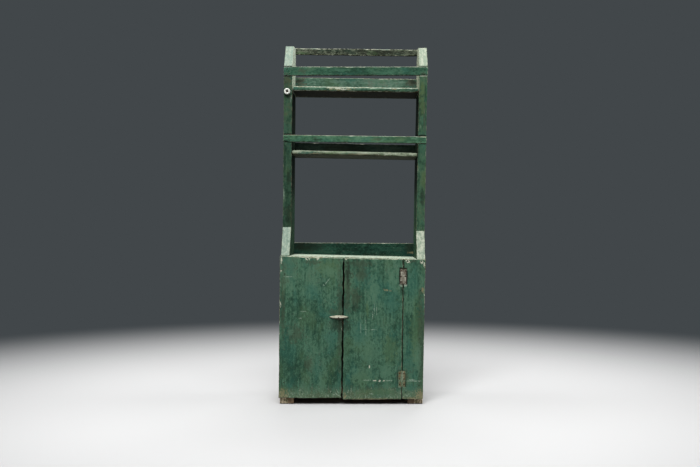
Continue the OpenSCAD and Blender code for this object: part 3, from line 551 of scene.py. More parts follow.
def bareWood(name, look):
    # Growth rings are the fraction of a long soft noise counted nine times over, along the grain
    look = {**woodUsually, **look}
    f = Finish(name)
    board = f.attribute("boardPlace")
    ring = (f.noise(board, (0.9, 0.06, 0.06), 2, 0.4, 0.15) * 9).maths("FRACT")
    band = f.rise(ring, 0.35, 0.92) * f.rise(ring, 1.0, 0.94)
    hair = f.noise(board, (0.045, 0.0014, 0.0014), 3, 0.62)
    streak = f.noise(board, (0.3, 0.01, 0.01), 4, 0.6)
    blotch = f.noise(board, (0.09, 0.04, 0.04), 4, 0.6)
    weather = f.noise(board, (0.5, 0.035, 0.035), 5, 0.62, 0.2, 2.7)
    # arrises are handled, and the lowest few millimetres are darker
    handled = f.rise(f.attribute("arris", "Fac") + blotch.swing(0.006), 0.004, 0.0)
    lowestDark = f.rise(f.part(f.objectPlace(), 2) + blotch.swing(0.006), 0.006, 0.002)
    colour = f.layers(f.ramp(streak * 0.6 + blotch * 0.4, look, 0.2), look, [
        ("ring", band * 0.45),
        ("dark", f.rise(hair, 0.52, 0.75) * 0.4),
        ("grey", f.rise(weather + blotch * 0.5, 0.62, 0.88) * look["greyShare"]),
        ("light", handled * 0.4),
        ("dark", lowestDark * 0.85),
    ])
    height = hair * 0.6 + streak * 0.5 - band * 0.25
    return f.done(colour, hair.swing(0.3) + look["roughness"], height, boardBump, **dry)


def copyWood(name):
    # plain softwood on a piece without its own board frame, grain along x
    f = Finish(name)
    place = f.objectPlace()
    streak = f.noise(place, (0.3, 0.012, 0.012), 4, 0.6)
    hair = f.noise(place, (0.05, 0.0016, 0.0016), 3, 0.6)
    blotch = f.noise(place, (0.09, 0.05, 0.05), 4, 0.6)
    colour = f.ramp(streak * 0.5 + blotch * 0.5, woodUsually, 0.14)
    colour = f.mix(f.rise(hair, 0.52, 0.75) * 0.4, colour, woodUsually["dark"])
    rough = hair.swing(0.3) + woodUsually["roughness"]
    return f.done(colour, rough, hair * 0.6 + streak * 0.5, boardBump, **dry)


# Camera, lamps, floor and background

studio = {
    "cameraPlace": (0.038, -4.5016, 0.8756), "lens": 45.46, "shiftX": -0.0171, "shiftY": -0.0107,
    "lamps": {
        # place, size and power
        "key": ((-0.9, -5.0, 8.6), 4.2, 1000),
        "fill": ((2.2, -4.7, 4.7), 2.6, 116),
        "back": ((0.6, 5.2, 7.0), 4.2, 290),
        "left": ((-6.5, 0.6, 3.6), 3.6, 190),
        "right": ((6.5, 0.6, 3.6), 3.6, 190),
    },
    "aim": (0, 0, 0.9), "backdrop": (66, 71, 74), "worldColour": (214, 216, 220), "worldShare": 0.13,
    "floorSeen": (194, 194, 194), "floorUnseen": (132, 132, 132), "floorRough": 0.9,
    "floorSize": 60, "floorFade": (1.1, 3.9),
}


def areaLamp(name, place, size, power):
    lamp = bpy.data.lights.new(name, "AREA")
    lamp.energy = power
    lamp.size = size
    holder = bpy.data.objects.new(name, lamp)
    holder.location = place
    holder.rotation_euler = (Vector(studio["aim"]) - Vector(place)).to_track_quat("-Z", "Y").to_euler()
    bpy.context.scene.collection.objects.link(holder)


def floorFinish():
    # pale to the camera, greyer for the light it throws back, and one with the backdrop far away
    f = Finish("studio_floor")
    seen = f.eyes()
    f.done(f.mix(seen, studio["floorUnseen"], studio["floorSeen"]), studio["floorRough"], **dry)
    plain = f.node("ShaderNodeEmission", {}, {"Color": studio["backdrop"]})
    away = f.node("ShaderNodeVectorMath", {"operation": "LENGTH"}, [f.objectPlace()], "Value")
    far = f.rise(away, *studio["floorFade"]) * seen
    surface = Wire(f, f.shader.outputs[0])
    return f.show(f.node("ShaderNodeMixShader", {}, {0: far, 1: surface, 2: plain}))


def setStudio():
    scene = bpy.context.scene
    scene.view_settings.view_transform = "Standard"
    lens = bpy.data.cameras.new("camera")
    lens.lens = studio["lens"]
    lens.sensor_width = 36
    lens.shift_x = studio["shiftX"]
    lens.shift_y = studio["shiftY"]
    camera = bpy.data.objects.new("camera", lens)
    camera.location = studio["cameraPlace"]
    camera.rotation_euler = (np.pi / 2, 0, 0)
    scene.collection.objects.link(camera)
    scene.camera = camera
    for name, lamp in studio["lamps"].items():
        areaLamp(name, *lamp)
    f = Finish("world", bpy.data.worlds.new("world"))
    ambient = {"Color": studio["worldColour"], "Strength": studio["worldShare"]}
    soft = f.node("ShaderNodeBackground", {}, ambient)
    plain = f.node("ShaderNodeBackground", {}, {"Color": studio["backdrop"]})
    scene.world = f.show(f.node("ShaderNodeMixShader", {}, {0: f.eyes(), 1: soft, 2: plain}))
    half = studio["floorSize"] / 2
    corners = [(-half, -half, 0), (half, -half, 0), (half, half, 0), (-half, half, 0)]
    mesh = bpy.data.meshes.new("floor")
    mesh.from_pydata(corners, [], [(0, 1, 2, 3)])
    mesh.materials.append(floorFinish())
    floor = bpy.data.objects.new("floor", mesh)
    scene.collection.objects.link(floor)


setStudio()
print("studio set")


# The boards of the base front, with what time has left on each

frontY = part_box("left_front_board")[0].y
hingeCut = {"inwards": 0.009, "depth": 0.0021, "clear": 0.0003}


def hingeCuts(leaves, way):
    # the recess of each leaf: low and high corner in x and z, and the depth that the front is cut to
    cuts = []
    clear = hingeCut["clear"]
    for leaf in leaves:
        low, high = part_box(leaf)
        inner, outer = (high.x, low.x - clear) if way < 0 else (low.x, high.x + clear)
        ends = sorted((inner - way * hingeCut["inwards"], outer))
        cuts.append(((ends[0], low.z - clear), (ends[1], high.z + clear), frontY + hingeCut["depth"]))
    return cuts


def backFace(node, seed):
    # where the hidden face lies in the board's own frame, with the shift that its seed gives
    low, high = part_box(node)
    return high.y - low.y + seed * boardShift[2]


def cutLines(node, cuts, side):
    # stations on both sides of every recess edge, measured along the board's edge that holds the hinges
    corners = outlineCorners(node)[0]
    foot, head = corners[[1, 2]] if side > 0 else corners[[0, 3]]
    wide, high = outlineSize(corners)
    lines = {"x": [], "z": []}
    for low, top, _ in cuts:
        up = (np.array([low[1], top[1]]) - foot[1]) / (head[1] - foot[1])
        reach = abs((low[0] if side > 0 else top[0]) - foot[0] - (head[0] - foot[0]) * up.mean())
        across = wide - reach if side > 0 else reach
        for axis, at in (("z", up[0] * high), ("z", up[1] * high), ("x", across)):
            lines[axis] += [at - hingeCut["clear"], at + hingeCut["clear"]]
    return lines


frontWorn = {"step": 0.005, "round": 0.0017, "wander": 0.0005, "wanderLength": 0.08}
frontPaint = {"front": frontY, "splash": (0.1, 0.035), "edgeReach": 0.3, "wearPale": 0.6, "grimeShare": 0.4}
# millimetres from the middle and from the floor, as in nearest
leftMarks = {
    "cream": [
        (-229, 717, 15.7, 7.8), (-177, 718, 5.9, 7.8), (-356, 709, 3.9, 12.7), (-359, 656, 3.4, 3.9),
        (-361, 491, 2.9, 9.8), (-250, 723, 26, 2.5),
    ],
    "scratch": [
        (-134, 601, 2.6, 24, 38), (-325, 627, 20, 2), (-149, 585, 4.5, 4.5), (-266, 424, 7.4, 3.4),
        (-241, 457, 15.7, 1.8), (-80, 62, 2.6, 12, -35), (-86, 51, 2.6, 11, -50), (-78, 46, 9, 2, 15),
    ],
    "light": [
        (-345, 574, 4.9, 17.2), (-249, 551, 4, 16), (-219, 541, 5, 16), (-158, 92, 19.6, 44),
        (-310, 356, 14.7, 19.6, 20), (-120, 655, 34, 24), (-190, 33, 150, 2.6),
    ],
    "shadeAndDirtLine": [(-305, 367, 15, 1.7, 10), (-300, 358, 17, 1.7, 12), (-296, 349, 12, 1.7, 8)],
    "grime": [
        (-68, 425, 15, 284), (-104, 454, 29.4, 14.7), (-227, 199, 19.6, 34.3), (-207, 699, 34.3, 12.7),
        (-349, 513, 11.8, 196), (-290, 345, 42, 48),
    ],
    "shadowAndDirt": [(-90, 390, 36, 36), (-72, 400, 16, 26)],
    "moss": [(-129, 670, 49, 39.2), (-344, 72, 17.2, 19.6), (-350, 560, 3.4, 60)],
    "teal": [
        (-207, 557, 39.2, 39.2), (-148, 442, 24.5, 16.7), (-320, 92, 14.7, 24.5), (-109, 342, 39.2, 39.2),
    ],
    "tan": [(-205, 722, 66, 3.6), (-115, 722, 30, 2.6), (-350, 42, 22, 32)],
}
doorMarks = {
    "cream": [
        (-39, 716, 4.9, 6.9), (100, 118, 9.3, 2.6), (124, 118, 5.9, 4.4), (145, 118, 4.4, 3.4),
        (75, 186, 2.6, 7),
    ],
    "scratch": [
        (229, 582, 9, 5), (110, 459, 2.2, 18), (90, 437, 2, 18), (98, 470, 1.8, 22, 2), (92, 368, 13, 2),
        (32, 375, 1.6, 24), (57, 372, 1.8, 28), (57, 369, 8, 1.8), (84, 54, 9, 4, 12), (170, 118, 16, 2.2),
        (66, 120, 16, 2.2),
    ],
    "light": [
        (40, 150, 64, 60), (151, 160, 49, 39.2), (100, 560, 26, 60), (190, 600, 20, 40), (80, 250, 60, 90),
    ],
    "grime": [
        (-31, 562, 16.7, 157), (-34, 620, 13, 90), (38, 689, 58.8, 19.6), (217, 131, 14.7, 44),
        (4, 525, 26, 52), (35, 640, 40, 40),
    ],
    "shadowAndDirt": [(-40, 388, 24, 36), (-1, 474, 12, 16), (-30, 640, 13, 70), (230, 560, 4, 26, -0.8)],
    "shadeAndDirtLine": [
        (221.6, 628, 3.2, 43, 0.8), (232, 669.5, 16, 3.2), (230, 586.5, 14, 2.4), (237, 700, 3, 24, -0.8),
        (213, 126, 1.8, 40, -0.8), (236, 560, 2, 30, -0.8),
    ],
    "moss": [(65, 469, 6.9, 34.3), (40, 128, 56, 38), (175, 268, 39.2, 68.6), (110, 60, 90, 18)],
    "teal": [(126, 52, 58.8, 17.2), (-32, 126, 17.2, 29.4), (185, 513, 39.2, 78.4), (28, 342, 39.2, 58.8)],
    "tan": [(-46, 42, 6, 14), (160, 562, 16.2, 5, 10), (90, 28, 120, 2.6), (233, 128, 4, 46, -0.8)],
}
stileMarks = {
    "cream": [(263, 703, 9.8, 8), (330, 699, 6.4, 9.8), (343, 686, 2.9, 12.7), (343, 537, 2.9, 6.9)],
    "scratch": [(250, 583, 9, 5), (293, 116, 46, 2.6), (281, 121, 14.7, 4), (240.5, 480, 1.5, 100, 0.83)],
    "light": [(249, 317, 3.9, 196), (275, 470, 18, 40), (314, 230, 18, 80)],
    "grime": [
        (334, 392, 18, 70), (288, 704, 22, 8.8), (327, 552, 12.7, 22), (327, 292, 17.6, 294),
        (252, 131, 11.8, 44),
    ],
    "shadowAndDirt": [(243, 689, 4.9, 19.6)],
    "shadeAndDirtLine": [(259.6, 628, 3.2, 42, 0.8), (250, 669.5, 13, 3), (250, 586.5, 13, 2.6)],
    "moss": [(303, 366, 29.4, 147)],
    "teal": [(288, 586, 34.3, 78.4), (278, 82, 29.4, 19.6)],
    "tan": [(324, 46, 24, 28), (286, 31, 50, 5), (336, 560, 5, 16)],
}
frontBoards = {
    "left_front_board": {
        "piece": "left_front_boards_face", "body": "carcass", "paintName": "left_front_paint",
        "leaves": (), "way": 1, "marks": leftMarks, "paint": {"wear": 0.004, "wearPale": 0.75},
        "worn": {
            "seed": 11, "round": 0.0018, "bite": 0.0045, "biteFrom": 0, "wander": 0.0011,
            "wanderLength": 0.06, "warp": 0.0006,
        },
    },
    "door_board": {
        "piece": "door_face", "body": "door", "paintName": "door_paint",
        "leaves": ("lower_hinge_door_leaf", "upper_hinge_door_leaf"), "way": -1, "marks": doorMarks,
        "paint": {"wear": 0.0036, "edgeReach": 0.2},
        "worn": {"seed": 23, "bite": 0.0034, "biteFrom": 0.1, "warp": 0.0005},
    },
    "right_front_stile": {
        "piece": "stile_face", "body": "carcass", "paintName": "stile_paint",
        "leaves": ("lower_hinge_stile_leaf", "upper_hinge_stile_leaf"), "way": 1, "marks": stileMarks,
        "paint": {"wear": 0.0038, "gap": (30, 48, 37), "grimeShare": 0.5},
        "worn": {"seed": 37, "bite": 0.0038, "biteFrom": 0.08, "warp": 0.0004},
    },
}
for node, board in frontBoards.items():
    cuts = hingeCuts(board["leaves"], board["way"])
    worn = {**frontWorn, **board["worn"], "lines": cutLines(node, cuts, -board["way"])}
    paint = {**frontPaint, **board["paint"], "bareBehind": backFace(node, worn["seed"])}
    finish = oldPaint(board["paintName"], paint, board["marks"])
    sawnBoard(node, board["piece"], "zxy", board["body"], finish, worn, cuts)
print("base front made")


# Side boards: a stepped outline that leans

sideShape = {
    "rackFrom": 1.0, "headAbove": 0.03, "headWithin": 0.13, "near": 0.0005, "crownFrom": 0.85,
    "gap": 0.0015, "clear": 0.0003, "widthStep": 0.0075, "thickStep": 0.007,
}
sideWorn = {"round": 0.0018, "bite": 0.0036, "biteFrom": 0.12, "wander": 0.0007, "warp": 0.0006}
sidePaint = {"wear": 0.0032, "wearPale": 0.3, "rubbed": -0.13, "grimeShare": 0.6, "scuffShare": 0.4}
# the inner faces: paler above paleFrom, partly painted light, and dimmed between dimFrom and paleFrom, a
# painted shade
insideFace = {"paleFrom": 1.553, "dimFrom": 0.98, "bareBelow": 0.7}
sideBoards = {
    "left": {
        "seed": 41, "end": 0,
        "inside": {"way": 1, "pale": (204, 214, 196), "dimShare": 0.8},
        "paint": {
            "footTop": 0.036, "tealShare": 0.3, "deep": (30, 50, 39), "middle": (43, 68, 53),
            "light": (58, 84, 66), "grime": (66, 68, 50), "pale": (137, 155, 142), "cream": (160, 173, 157),
        },
        "marks": {
            "grime": [(-336, 1606, 20, 38)],
            "shadeAndDirtLine": [(-336, 1679, 30, 4), (-336, 1627, 30, 4), (-342, 1338, 30, 4)],
            "shadowAndDirt": [(-330, 1525, 22, 14), (-330, 930, 24, 60), (-330, 1120, 12, 40)],
            "tan": [(-331, 700, 10, 6), (-338, 1770, 5, 5)],
            "scratch": [(-354, 1035, 2.6, 26)],
        },
    },
    "right": {
        "seed": 53, "end": 1,
        "inside": {"way": -1, "pale": (174, 180, 158), "dimShare": 0.85},
        "paint": {
            "footTop": 0.032, "mossShare": 0.5, "deep": (36, 58, 44), "middle": (52, 80, 62),
            "light": (70, 98, 74), "moss": (78, 94, 58), "pale": (142, 156, 138), "cream": (176, 182, 164),
        },
        "marks": {
            "grime": [(352, 1400, 5, 110)],
            "shadowAndDirt": [(340, 1020, 12, 50)],
            "shadeAndDirtLine": [(344, 1331, 30, 4), (344, 1291, 30, 4), (353, 1629, 10, 4)],
            "moss": [(344, 1558, 14, 36), (346, 1556, 9, 24), (344, 1480, 14, 60)],
            "tan": [(354, 690, 7, 9), (346, 655, 6, 6)],
            "cream": [(357, 1050, 2, 14), (358, 960, 2, 10), (359, 1240, 2, 9)],
        },
    },
}
frontRails = ("top_front_rail", "middle_front_rail")
backRails = ("top_back_rail", "top_shelf_back_rail", "middle_shelf_back_rail", "counter_back_rail")


def railNotches(rails, end, way):
    # from where to where each rail's notch runs up one side board, and the depth that the edge steps in to
    rows = []
    for rail in rails:
        low, high = sorted(outlineCorners(rail)[0][[end, 3 - end], 1])
        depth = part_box(rail)[1 if way > 0 else 0].y + way * sideShape["clear"]
        rows.append((low - sideShape["gap"], high + sideShape["gap"], depth))
    return rows


def sideBoard(hand, side):
    # Length runs up, width from front to back and thickness across. At every height the front edge is
    # read off the outline's bends, both edges step in at the rails' notches, and the whole board leans.
    node = hand + "_side"
    points = nodePoints(node)
    x, y, z = points.T
    frontEdge, backEdge, top = y.min(), y.max(), z.max()
    uprightY = y[z > sideShape["rackFrom"]].min()
    onUpright = z[np.abs(y - uprightY) < sideShape["near"]]
    stepLow = z[np.abs(y - frontEdge) < sideShape["near"]].max()
    stepHigh, cutLow = onUpright.min(), onUpright.max()
    shoulder = points[(z > cutLow + sideShape["headAbove"]) & (y < uprightY + sideShape["headWithin"])]
    _, shoulderY, tall = shoulder[np.argmin(shoulder[:, 1])]
    foot = x[z < 0.001]
    lean = (x[z > tall - 0.001].min() - foot.min()) / top
    notches = [railNotches(frontRails, side["end"], 1), railNotches(backRails, side["end"], -1)]
    notches[1][0] = (notches[1][0][0], top + 0.1, notches[1][0][2])  # the highest one is open at its top
    extra = [b + d for b in (stepLow, stepHigh, cutLow) for d in (-0.002, -0.0006, 0, 0.0006, 0.002)]
    extra += [edge + d for row in notches[0] + notches[1] for edge in row[:2] for d in (-0.0002, 0.0002)]
    worn = {**wornUsually, **sideWorn, "seed": side["seed"]}
    size = [tall, backEdge - frontEdge, np.ptp(foot)]
    steps = [worn["step"], sideShape["widthStep"], sideShape["thickStep"]]
    lines = [stations(*row) for row in zip(size, steps, (extra, (), ()))]
    moved, quads, place, arris = wornBlock(size, lines, worn)
    height, back, across = moved.T
    front = np.interp(height, [stepLow, stepHigh, cutLow, tall], [frontEdge, uprightY, uprightY, shoulderY])
    rear = np.full_like(front, backEdge)
    for edge, rows in zip((front, rear), notches):
        for low, high, depth in rows:
            edge[(height > low) & (height < high)] = depth
    share = back / size[1]
    crowned = height + (top - tall) * share * smoothStep(sideShape["crownFrom"], 1, height / tall) ** 2
    points = np.column_stack([foot.min() + lean * crowned + across, front + share * (rear - front), crowned])
    paint = {**sidePaint, **side["paint"], "inside": {**insideFace, **side["inside"]}}
    finish = oldPaint(hand + "_side_paint", paint, side["marks"])
    finishBoard(hand + "_side_board", points, quads, place, arris, "carcass", node, finish)


for hand, side in sideBoards.items():
    sideBoard(hand, side)
print("sides made")


# Rails and shelves

crossBoards = {
    "top_front_rail": {
        "worn": {"seed": 61, "step": 0.005, "round": 0.003, "bite": 0.0028},
        "paint": {
            "deep": (34, 62, 48), "middle": (48, 82, 64), "light": (66, 102, 82), "wear": 0.003,
            "wearPale": 1, "dustAndSheenShare": 1,
        },
        "marks": {
            "light": [(88, 1655, 11, 12), (-60, 1658, 40, 9), (190, 1650, 30, 10)],
            "grime": [(-262, 1655, 22, 14), (-340, 1640, 16, 8), (345, 1640, 14, 8)],
            "shadowAndDirt": [(350, 1634, 10, 6)],
        },
    },
    "middle_front_rail": {
        "worn": {"seed": 67, "step": 0.005, "round": 0.0026, "bite": 0.0028},
        "paint": {
            "deep": (46, 78, 58), "middle": (64, 100, 77), "light": (88, 124, 98), "wear": 0.003,
            "wearPale": 0.8, "dustAndSheenShare": 1,
        },
        "marks": {
            "moss": [(100, 1310, 26, 10), (230, 1308, 24, 9), (-40, 1312, 30, 8)],
            "grime": [(118, 1312, 20, 7), (-196, 1318, 14, 5)],
            "light": [(-120, 1322, 60, 5), (20, 1316, 22, 7), (300, 1316, 20, 6)],
            "shadowAndDirt": [(-345, 1304, 12, 4), (-190, 1308, 30, 6)],
        },
    },
    "top_back_rail": {
        "slot": "weathered_paint",
        "worn": {
            "seed": 71, "step": 0.005, "bite": 0.005, "biteFrom": 0, "wander": 0.0012, "wanderLength": 0.05,
        },
        "paint": {
            "deep": (38, 42, 34), "middle": (64, 70, 58), "light": (96, 102, 86), "wear": 0.005,
            "rubbed": 0.05, "wearPale": 0.9, "tealShare": 0.1, "mossShare": 0.5, "grimeShare": 0.7,
            "fleckShare": 1, "contrast": 0.045, "dark": (16, 18, 14), "tan": (100, 98, 80),
            "brown": (58, 54, 42),
        },
        "marks": {},
    },
    "top_shelf_back_rail": {
        "worn": {"seed": 73, "round": 0.0022, "bite": 0.003},
        "paint": {
            "deep": (48, 70, 58), "middle": (68, 95, 80), "light": (94, 118, 104), "wear": 0.004,
            "wearPale": 0.9, "grimeShare": 0.5, "grime": (74, 68, 58),
        },
        "marks": {
            "grime": [(-290, 1630, 34, 24), (298, 1628, 34, 24), (-300, 1634, 16, 16)],
            "shadowAndDirt": [(-296, 1640, 24, 8), (306, 1634, 16, 14)],
            "light": [(-90, 1634, 60, 8)],
        },
    },
    "middle_shelf_back_rail": {
        "slot": "dark_green_paint",
        "worn": {"seed": 79, "bite": 0.003},
        # greens near black: partly dark paint, partly painted shade of the shelf above
        "paint": {
            "deep": (13, 21, 16), "middle": (21, 32, 26), "light": (34, 48, 40), "teal": (18, 30, 26),
            "moss": (32, 36, 26), "grime": (34, 32, 25), "wear": 0.003, "wearPale": 0.2,
            "tan": (74, 62, 46), "brown": (44, 36, 27), "pale": (52, 60, 52),
        },
        "marks": {},
    },
    "counter_back_rail": {
        "slot": "dark_green_paint",
        "worn": {"seed": 83, "bite": 0.003},
        # darker greens than the front rails: painted shade of the shelves above
        "paint": {
            "deep": (20, 40, 32), "middle": (30, 58, 47), "light": (44, 76, 62), "teal": (26, 60, 54),
            "moss": (46, 60, 38), "grime": (40, 46, 36), "wear": 0.003,
        },
        "marks": {
            "tan": [(299, 736, 14, 5)],
            "grime": [(290, 762, 26, 34), (-286, 770, 18, 26)],
            "shadowAndDirt": [(-240, 770, 90, 34)],
        },
    },
    "top_shelf": {
        "worn": {
            "seed": 89, "round": 0.003, "bite": 0.005, "biteFrom": 0, "wander": 0.0012,
            "wanderLength": 0.07, "nose": 0.005, "endTrim": 0.0083,
        },
        "paint": {
            "wear": 0.006, "wearPale": 1, "rubbed": 0.08, "grimeShare": 0.6, "dustAndSheenShare": 1,
            "undersideShadeShare": 0.96, "pale": (148, 168, 152), "cream": (180, 186, 168), "middle": (52, 82, 66),
            "dark": (24, 25, 18),
        },
        "marks": {
            "cream": [(-78, 1570, 34, 6), (-52, 1562, 22, 5)],
            "tan": [(-84, 1564, 44, 9), (-30, 1563, 24, 5), (205, 1566, 12, 5)],
            "shadowAndDirt": [(0, 1553, 330, 6, -0.9)],
            "light": [(-200, 1570, 70, 5), (90, 1567, 50, 6)],
        },
    },
    "middle_shelf": {
        "worn": {
            "seed": 97, "round": 0.0036, "bite": 0.005, "biteFrom": -0.1, "wander": 0.0015,
            "wanderLength": 0.07, "nose": 0.0042, "endTrim": 0.0083,
        },
        "paint": {
            "deep": (70, 80, 64), "middle": (104, 114, 94), "light": (140, 150, 128),
            "pale": (114, 126, 108), "cream": (146, 154, 136), "undersideShadeShare": 0.9, "wear": 0.006,
            "rubbed": -0.28, "wearPale": 0.6, "mossShare": 0.7, "tealShare": 0.4, "grimeShare": 0.6,
            "tan": (122, 114, 90), "brown": (104, 96, 74), "dark": (52, 56, 44), "dustAndSheenShare": 0.5,
        },
        "marks": {
            "cream": [
                (-288, 1250, 22, 5), (188, 1238, 52, 6, -1), (53, 1243, 32, 4), (285, 1235, 14, 4),
                (-160, 1249, 30, 3),
            ],
            "moss": [(-132, 1236, 34, 10), (-30, 1232, 24, 8)],
            "teal": [(-225, 1240, 60, 14), (-30, 1240, 40, 12)],
            "tan": [(-200, 1240, 40, 6), (10, 1234, 60, 6), (120, 1228, 50, 5), (-80, 1226, 40, 4)],
            "light": [(-60, 1245, 50, 5), (240, 1231, 34, 8)],
            "shadowAndDirt": [(-240, 1234, 30, 6), (-60, 1226, 40, 4), (110, 1234, 34, 5)],
        },
    },
    "counter_top": {
        "worn": {"seed": 101, "round": 0.002, "bite": 0.003, "endTrim": 0.0083},
        "paint": {"wear": 0.005, "wearPale": 0.8, "pale": (160, 180, 162)},
        "marks": {},
    },
}
for node, board in crossBoards.items():
    run = "xzy" if node.endswith("rail") else "xyz"
    finish = oldPaint(node + "_paint", board["paint"], board["marks"])
    sawnBoard(node, node + "_board", run, "carcass", finish, board["worn"])
print("rails and shelves made")


# Unpainted boards inside and behind

plainWorn = {"step": 0.009, "bite": 0.003, "biteFrom": 0.2, "wander": 0.0005, "warp": 0.0003}
plainSeeds = {"first": 131, "apart": 7}
cleats = ("left_bottom_cleat", "right_bottom_cleat", "left_shelf_cleat", "right_shelf_cleat")
leftPostTones = {"deep": (122, 98, 72), "middle": (170, 140, 108), "light": (208, 180, 146)}
rightPostTones = {"deep": (104, 82, 62), "middle": (150, 122, 96), "light": (188, 160, 130)}
plainBoards = {
    # length, width and thickness of each, and its own tones
    "left_front_post": ("zxy", leftPostTones), "right_front_post": ("zxy", rightPostTones),
    "inner_shelf": ("xyz", {}),
    **{cleat: ("yxz", {}) for cleat in cleats},
    **{f"back_plank_{n}": ("zxy", {"greyShare": grey}) for n, grey in enumerate((0.8, 0.6, 0.75, 0.5), 1)},
    "upper_door_batten": ("xzy", {}), "lower_door_batten": ("xzy", {}),
}
for count, (node, (run, look)) in enumerate(plainBoards.items()):
    body = "door" if "door" in node else "carcass"
    worn = {**plainWorn, "seed": plainSeeds["first"] + plainSeeds["apart"] * count}
    sawnBoard(node, node + "_board", run, body, bareWood(node + "_wood", look), worn)
print("plain boards made")


# What keeps its shape from the frame: a merged copy with eased edges

def easedCopy(node, name, body, finish, ease):
    mesh = cadNodes[node].data.copy()
    mesh.name = name
    mesh.materials.clear()
    shape = bmesh.new()
    shape.from_mesh(mesh)
    bmesh.ops.remove_doubles(shape, verts=shape.verts, dist=0.00001)
    bmesh.ops.dissolve_limit(shape, angle_limit=0.02, verts=shape.verts, edges=shape.edges)
    shape.to_mesh(mesh)
    shape.free()
    bevel = showPiece(name, mesh, body, node, finish).modifiers.new("ease", "BEVEL")
    bevel.width = ease
    bevel.segments = 2
    bevel.limit_method = "ANGLE"
    bevel.angle_limit = 0.6


def ironFinish(name, look):
    # Dark scale with rust in patches and bright worn spots, and old paint over part of it
    f = Finish(name)
    place = f.objectPlace()
    cloud = f.noise(place, (0.016, 0.016, 0.024), 5, 0.6)
    grain = f.noise(place, (0.003, 0.003, 0.004), 4, 0.62)
    colour = f.layers(look["base"], look, [
        ("second", f.rise(cloud, 0.42, 0.6)),
        ("rust", f.rise(grain + cloud * 0.4, 0.7, 0.86) * look["rustShare"]),
        ("bright", f.rise(grain + cloud, 0.98, 0.76) * look["shine"]),
    ])
    if "rim" in look:
        # a dark rim round the edge of a plate, painted shade of the recess round it together with old dirt
        # and paint: middle x and z, half width and half height
        x, z, halfWide, halfHigh = look["rim"]
        across = (f.part(place, 0) - x).maths("ABSOLUTE") - halfWide
        along = (f.part(place, 2) - z).maths("ABSOLUTE") - halfHigh
        toRim = across.atLeast(along) + grain.swing(0.006)
        colour = f.mix(f.rise(toRim, -0.0055, -0.0025) * 0.9, colour, look["rimShadeAndDirt"])
    if "rubbedLine" in look:
        near = f.nearest(place, look["rubbedLine"])
        rubbed = f.rise(near + grain.swing(6) + cloud.swing(4), 0.3, 0.9)
        colour = f.mix(rubbed * 0.7, colour, look["bright"])
    rough = grain * 0.3 + 0.45
    return f.done(colour, rough, cloud * 0.5 + grain * 0.6, 0.0006, Metallic=look["metal"], **dry)


steelLook = {
    "base": (146, 144, 130), "second": (104, 98, 86), "rust": (92, 76, 62), "rustShare": 0.8,
    "bright": (190, 186, 170), "shine": 0.45, "metal": 0.1, "rimShadeAndDirt": (30, 30, 24),
    "rim": (0.2404, 0.628, 0.0176, 0.0396),
}
rustLook = {
    "base": (76, 106, 84), "second": (98, 100, 76), "rust": (116, 84, 60), "rustShare": 0.85,
    "bright": (170, 180, 156), "shine": 0.55, "metal": 0.05, "rubbedLine": [(235, 132, 6, 36, 0.8)],
}
ironLook = {
    "base": (62, 54, 46), "second": (44, 38, 33), "rust": (98, 62, 40), "rustShare": 0.8,
    "bright": (120, 110, 98), "shine": 0.4, "metal": 0.3,
}
paintedIronLook = {
    "base": (58, 86, 68), "second": (48, 70, 56), "rust": (84, 76, 56), "rustShare": 0.4,
    "bright": (96, 120, 98), "shine": 0.3, "metal": 0.0,
}
steelFinish = ironFinish("worn_steel", steelLook)
rustFinish = ironFinish("rusty_steel", rustLook)
nailFinish = ironFinish("nail_iron", ironLook)
paintedNailFinish = ironFinish("painted_nail_iron", paintedIronLook)
eases = {"board": 0.0012, "iron": 0.00025}
bottomWood = copyWood("bottom_board_wood")
easedCopy("bottom_board", "bottom_board_board", "carcass", bottomWood, eases["board"])
for height, slot, finish in (("upper", "hinge_steel", steelFinish), ("lower", "hinge_rust", rustFinish)):
    for part, body in (("stile_leaf", "carcass"), ("door_leaf", "door"), ("pin", "carcass")):
        node = f"{height}_hinge_{part}"
        easedCopy(node, node + "_worn", body, finish, eases["iron"])
for node in ("stile_hinge_screws", "door_hinge_screws", "porcelain_ring_screw", "turn_button_nail"):
    body = "door" if "door" in node else "carcass"
    easedCopy(node, node + "_worn", body, nailFinish, eases["iron"])
print("ironwork made")


# Nails with hammered heads

nailShape = {
    "sides": 12, "dome": 0.75, "shank": 0.8, "wobble": 0.12, "seed": 7,
    "reach": 0.0095, "longest": 0.09,  # points nearer than this across and along belong to one nail
}
nailGroups = {
    "front_nails": ("carcass", 1, paintedNailFinish), "rail_nails": ("carcass", 1, paintedNailFinish),
    "back_rail_nails": ("carcass", 1, nailFinish), "plank_nails": ("carcass", 1, nailFinish),
    "door_batten_nails": ("door", 1, nailFinish), "shelf_nails": ("carcass", 0, paintedNailFinish),
    "cleat_nails": ("carcass", 0, nailFinish),
}


def nailPlaces(node, along):
    # groups the node's points by nail, and finds each one's middle, ends, head side and radii
    rest = nodePoints(node)
    across = [axis for axis in range(3) if axis != along]
    found = []
    while len(rest):
        away = np.linalg.norm(rest[:, across] - rest[0, across], axis=1)
        mine = (away < nailShape["reach"]) & (np.abs(rest[:, along] - rest[0, along]) < nailShape["longest"])
        nail, rest = rest[mine], rest[~mine]
        middle = (nail[:, across].min(axis=0) + nail[:, across].max(axis=0)) / 2
        radius = np.linalg.norm(nail[:, across] - middle, axis=1)
        head = nail[radius > radius.max() * 0.8, along]
        shank = radius[(radius > 0.0005) & (radius < radius.max() * 0.7)]
        ends = nail[:, along].min(), nail[:, along].max()
        way = 1 if head.mean() > sum(ends) / 2 else -1
        found.append((middle, ends, way, radius.max(), shank.max(), np.ptp(head)))
    return across, found


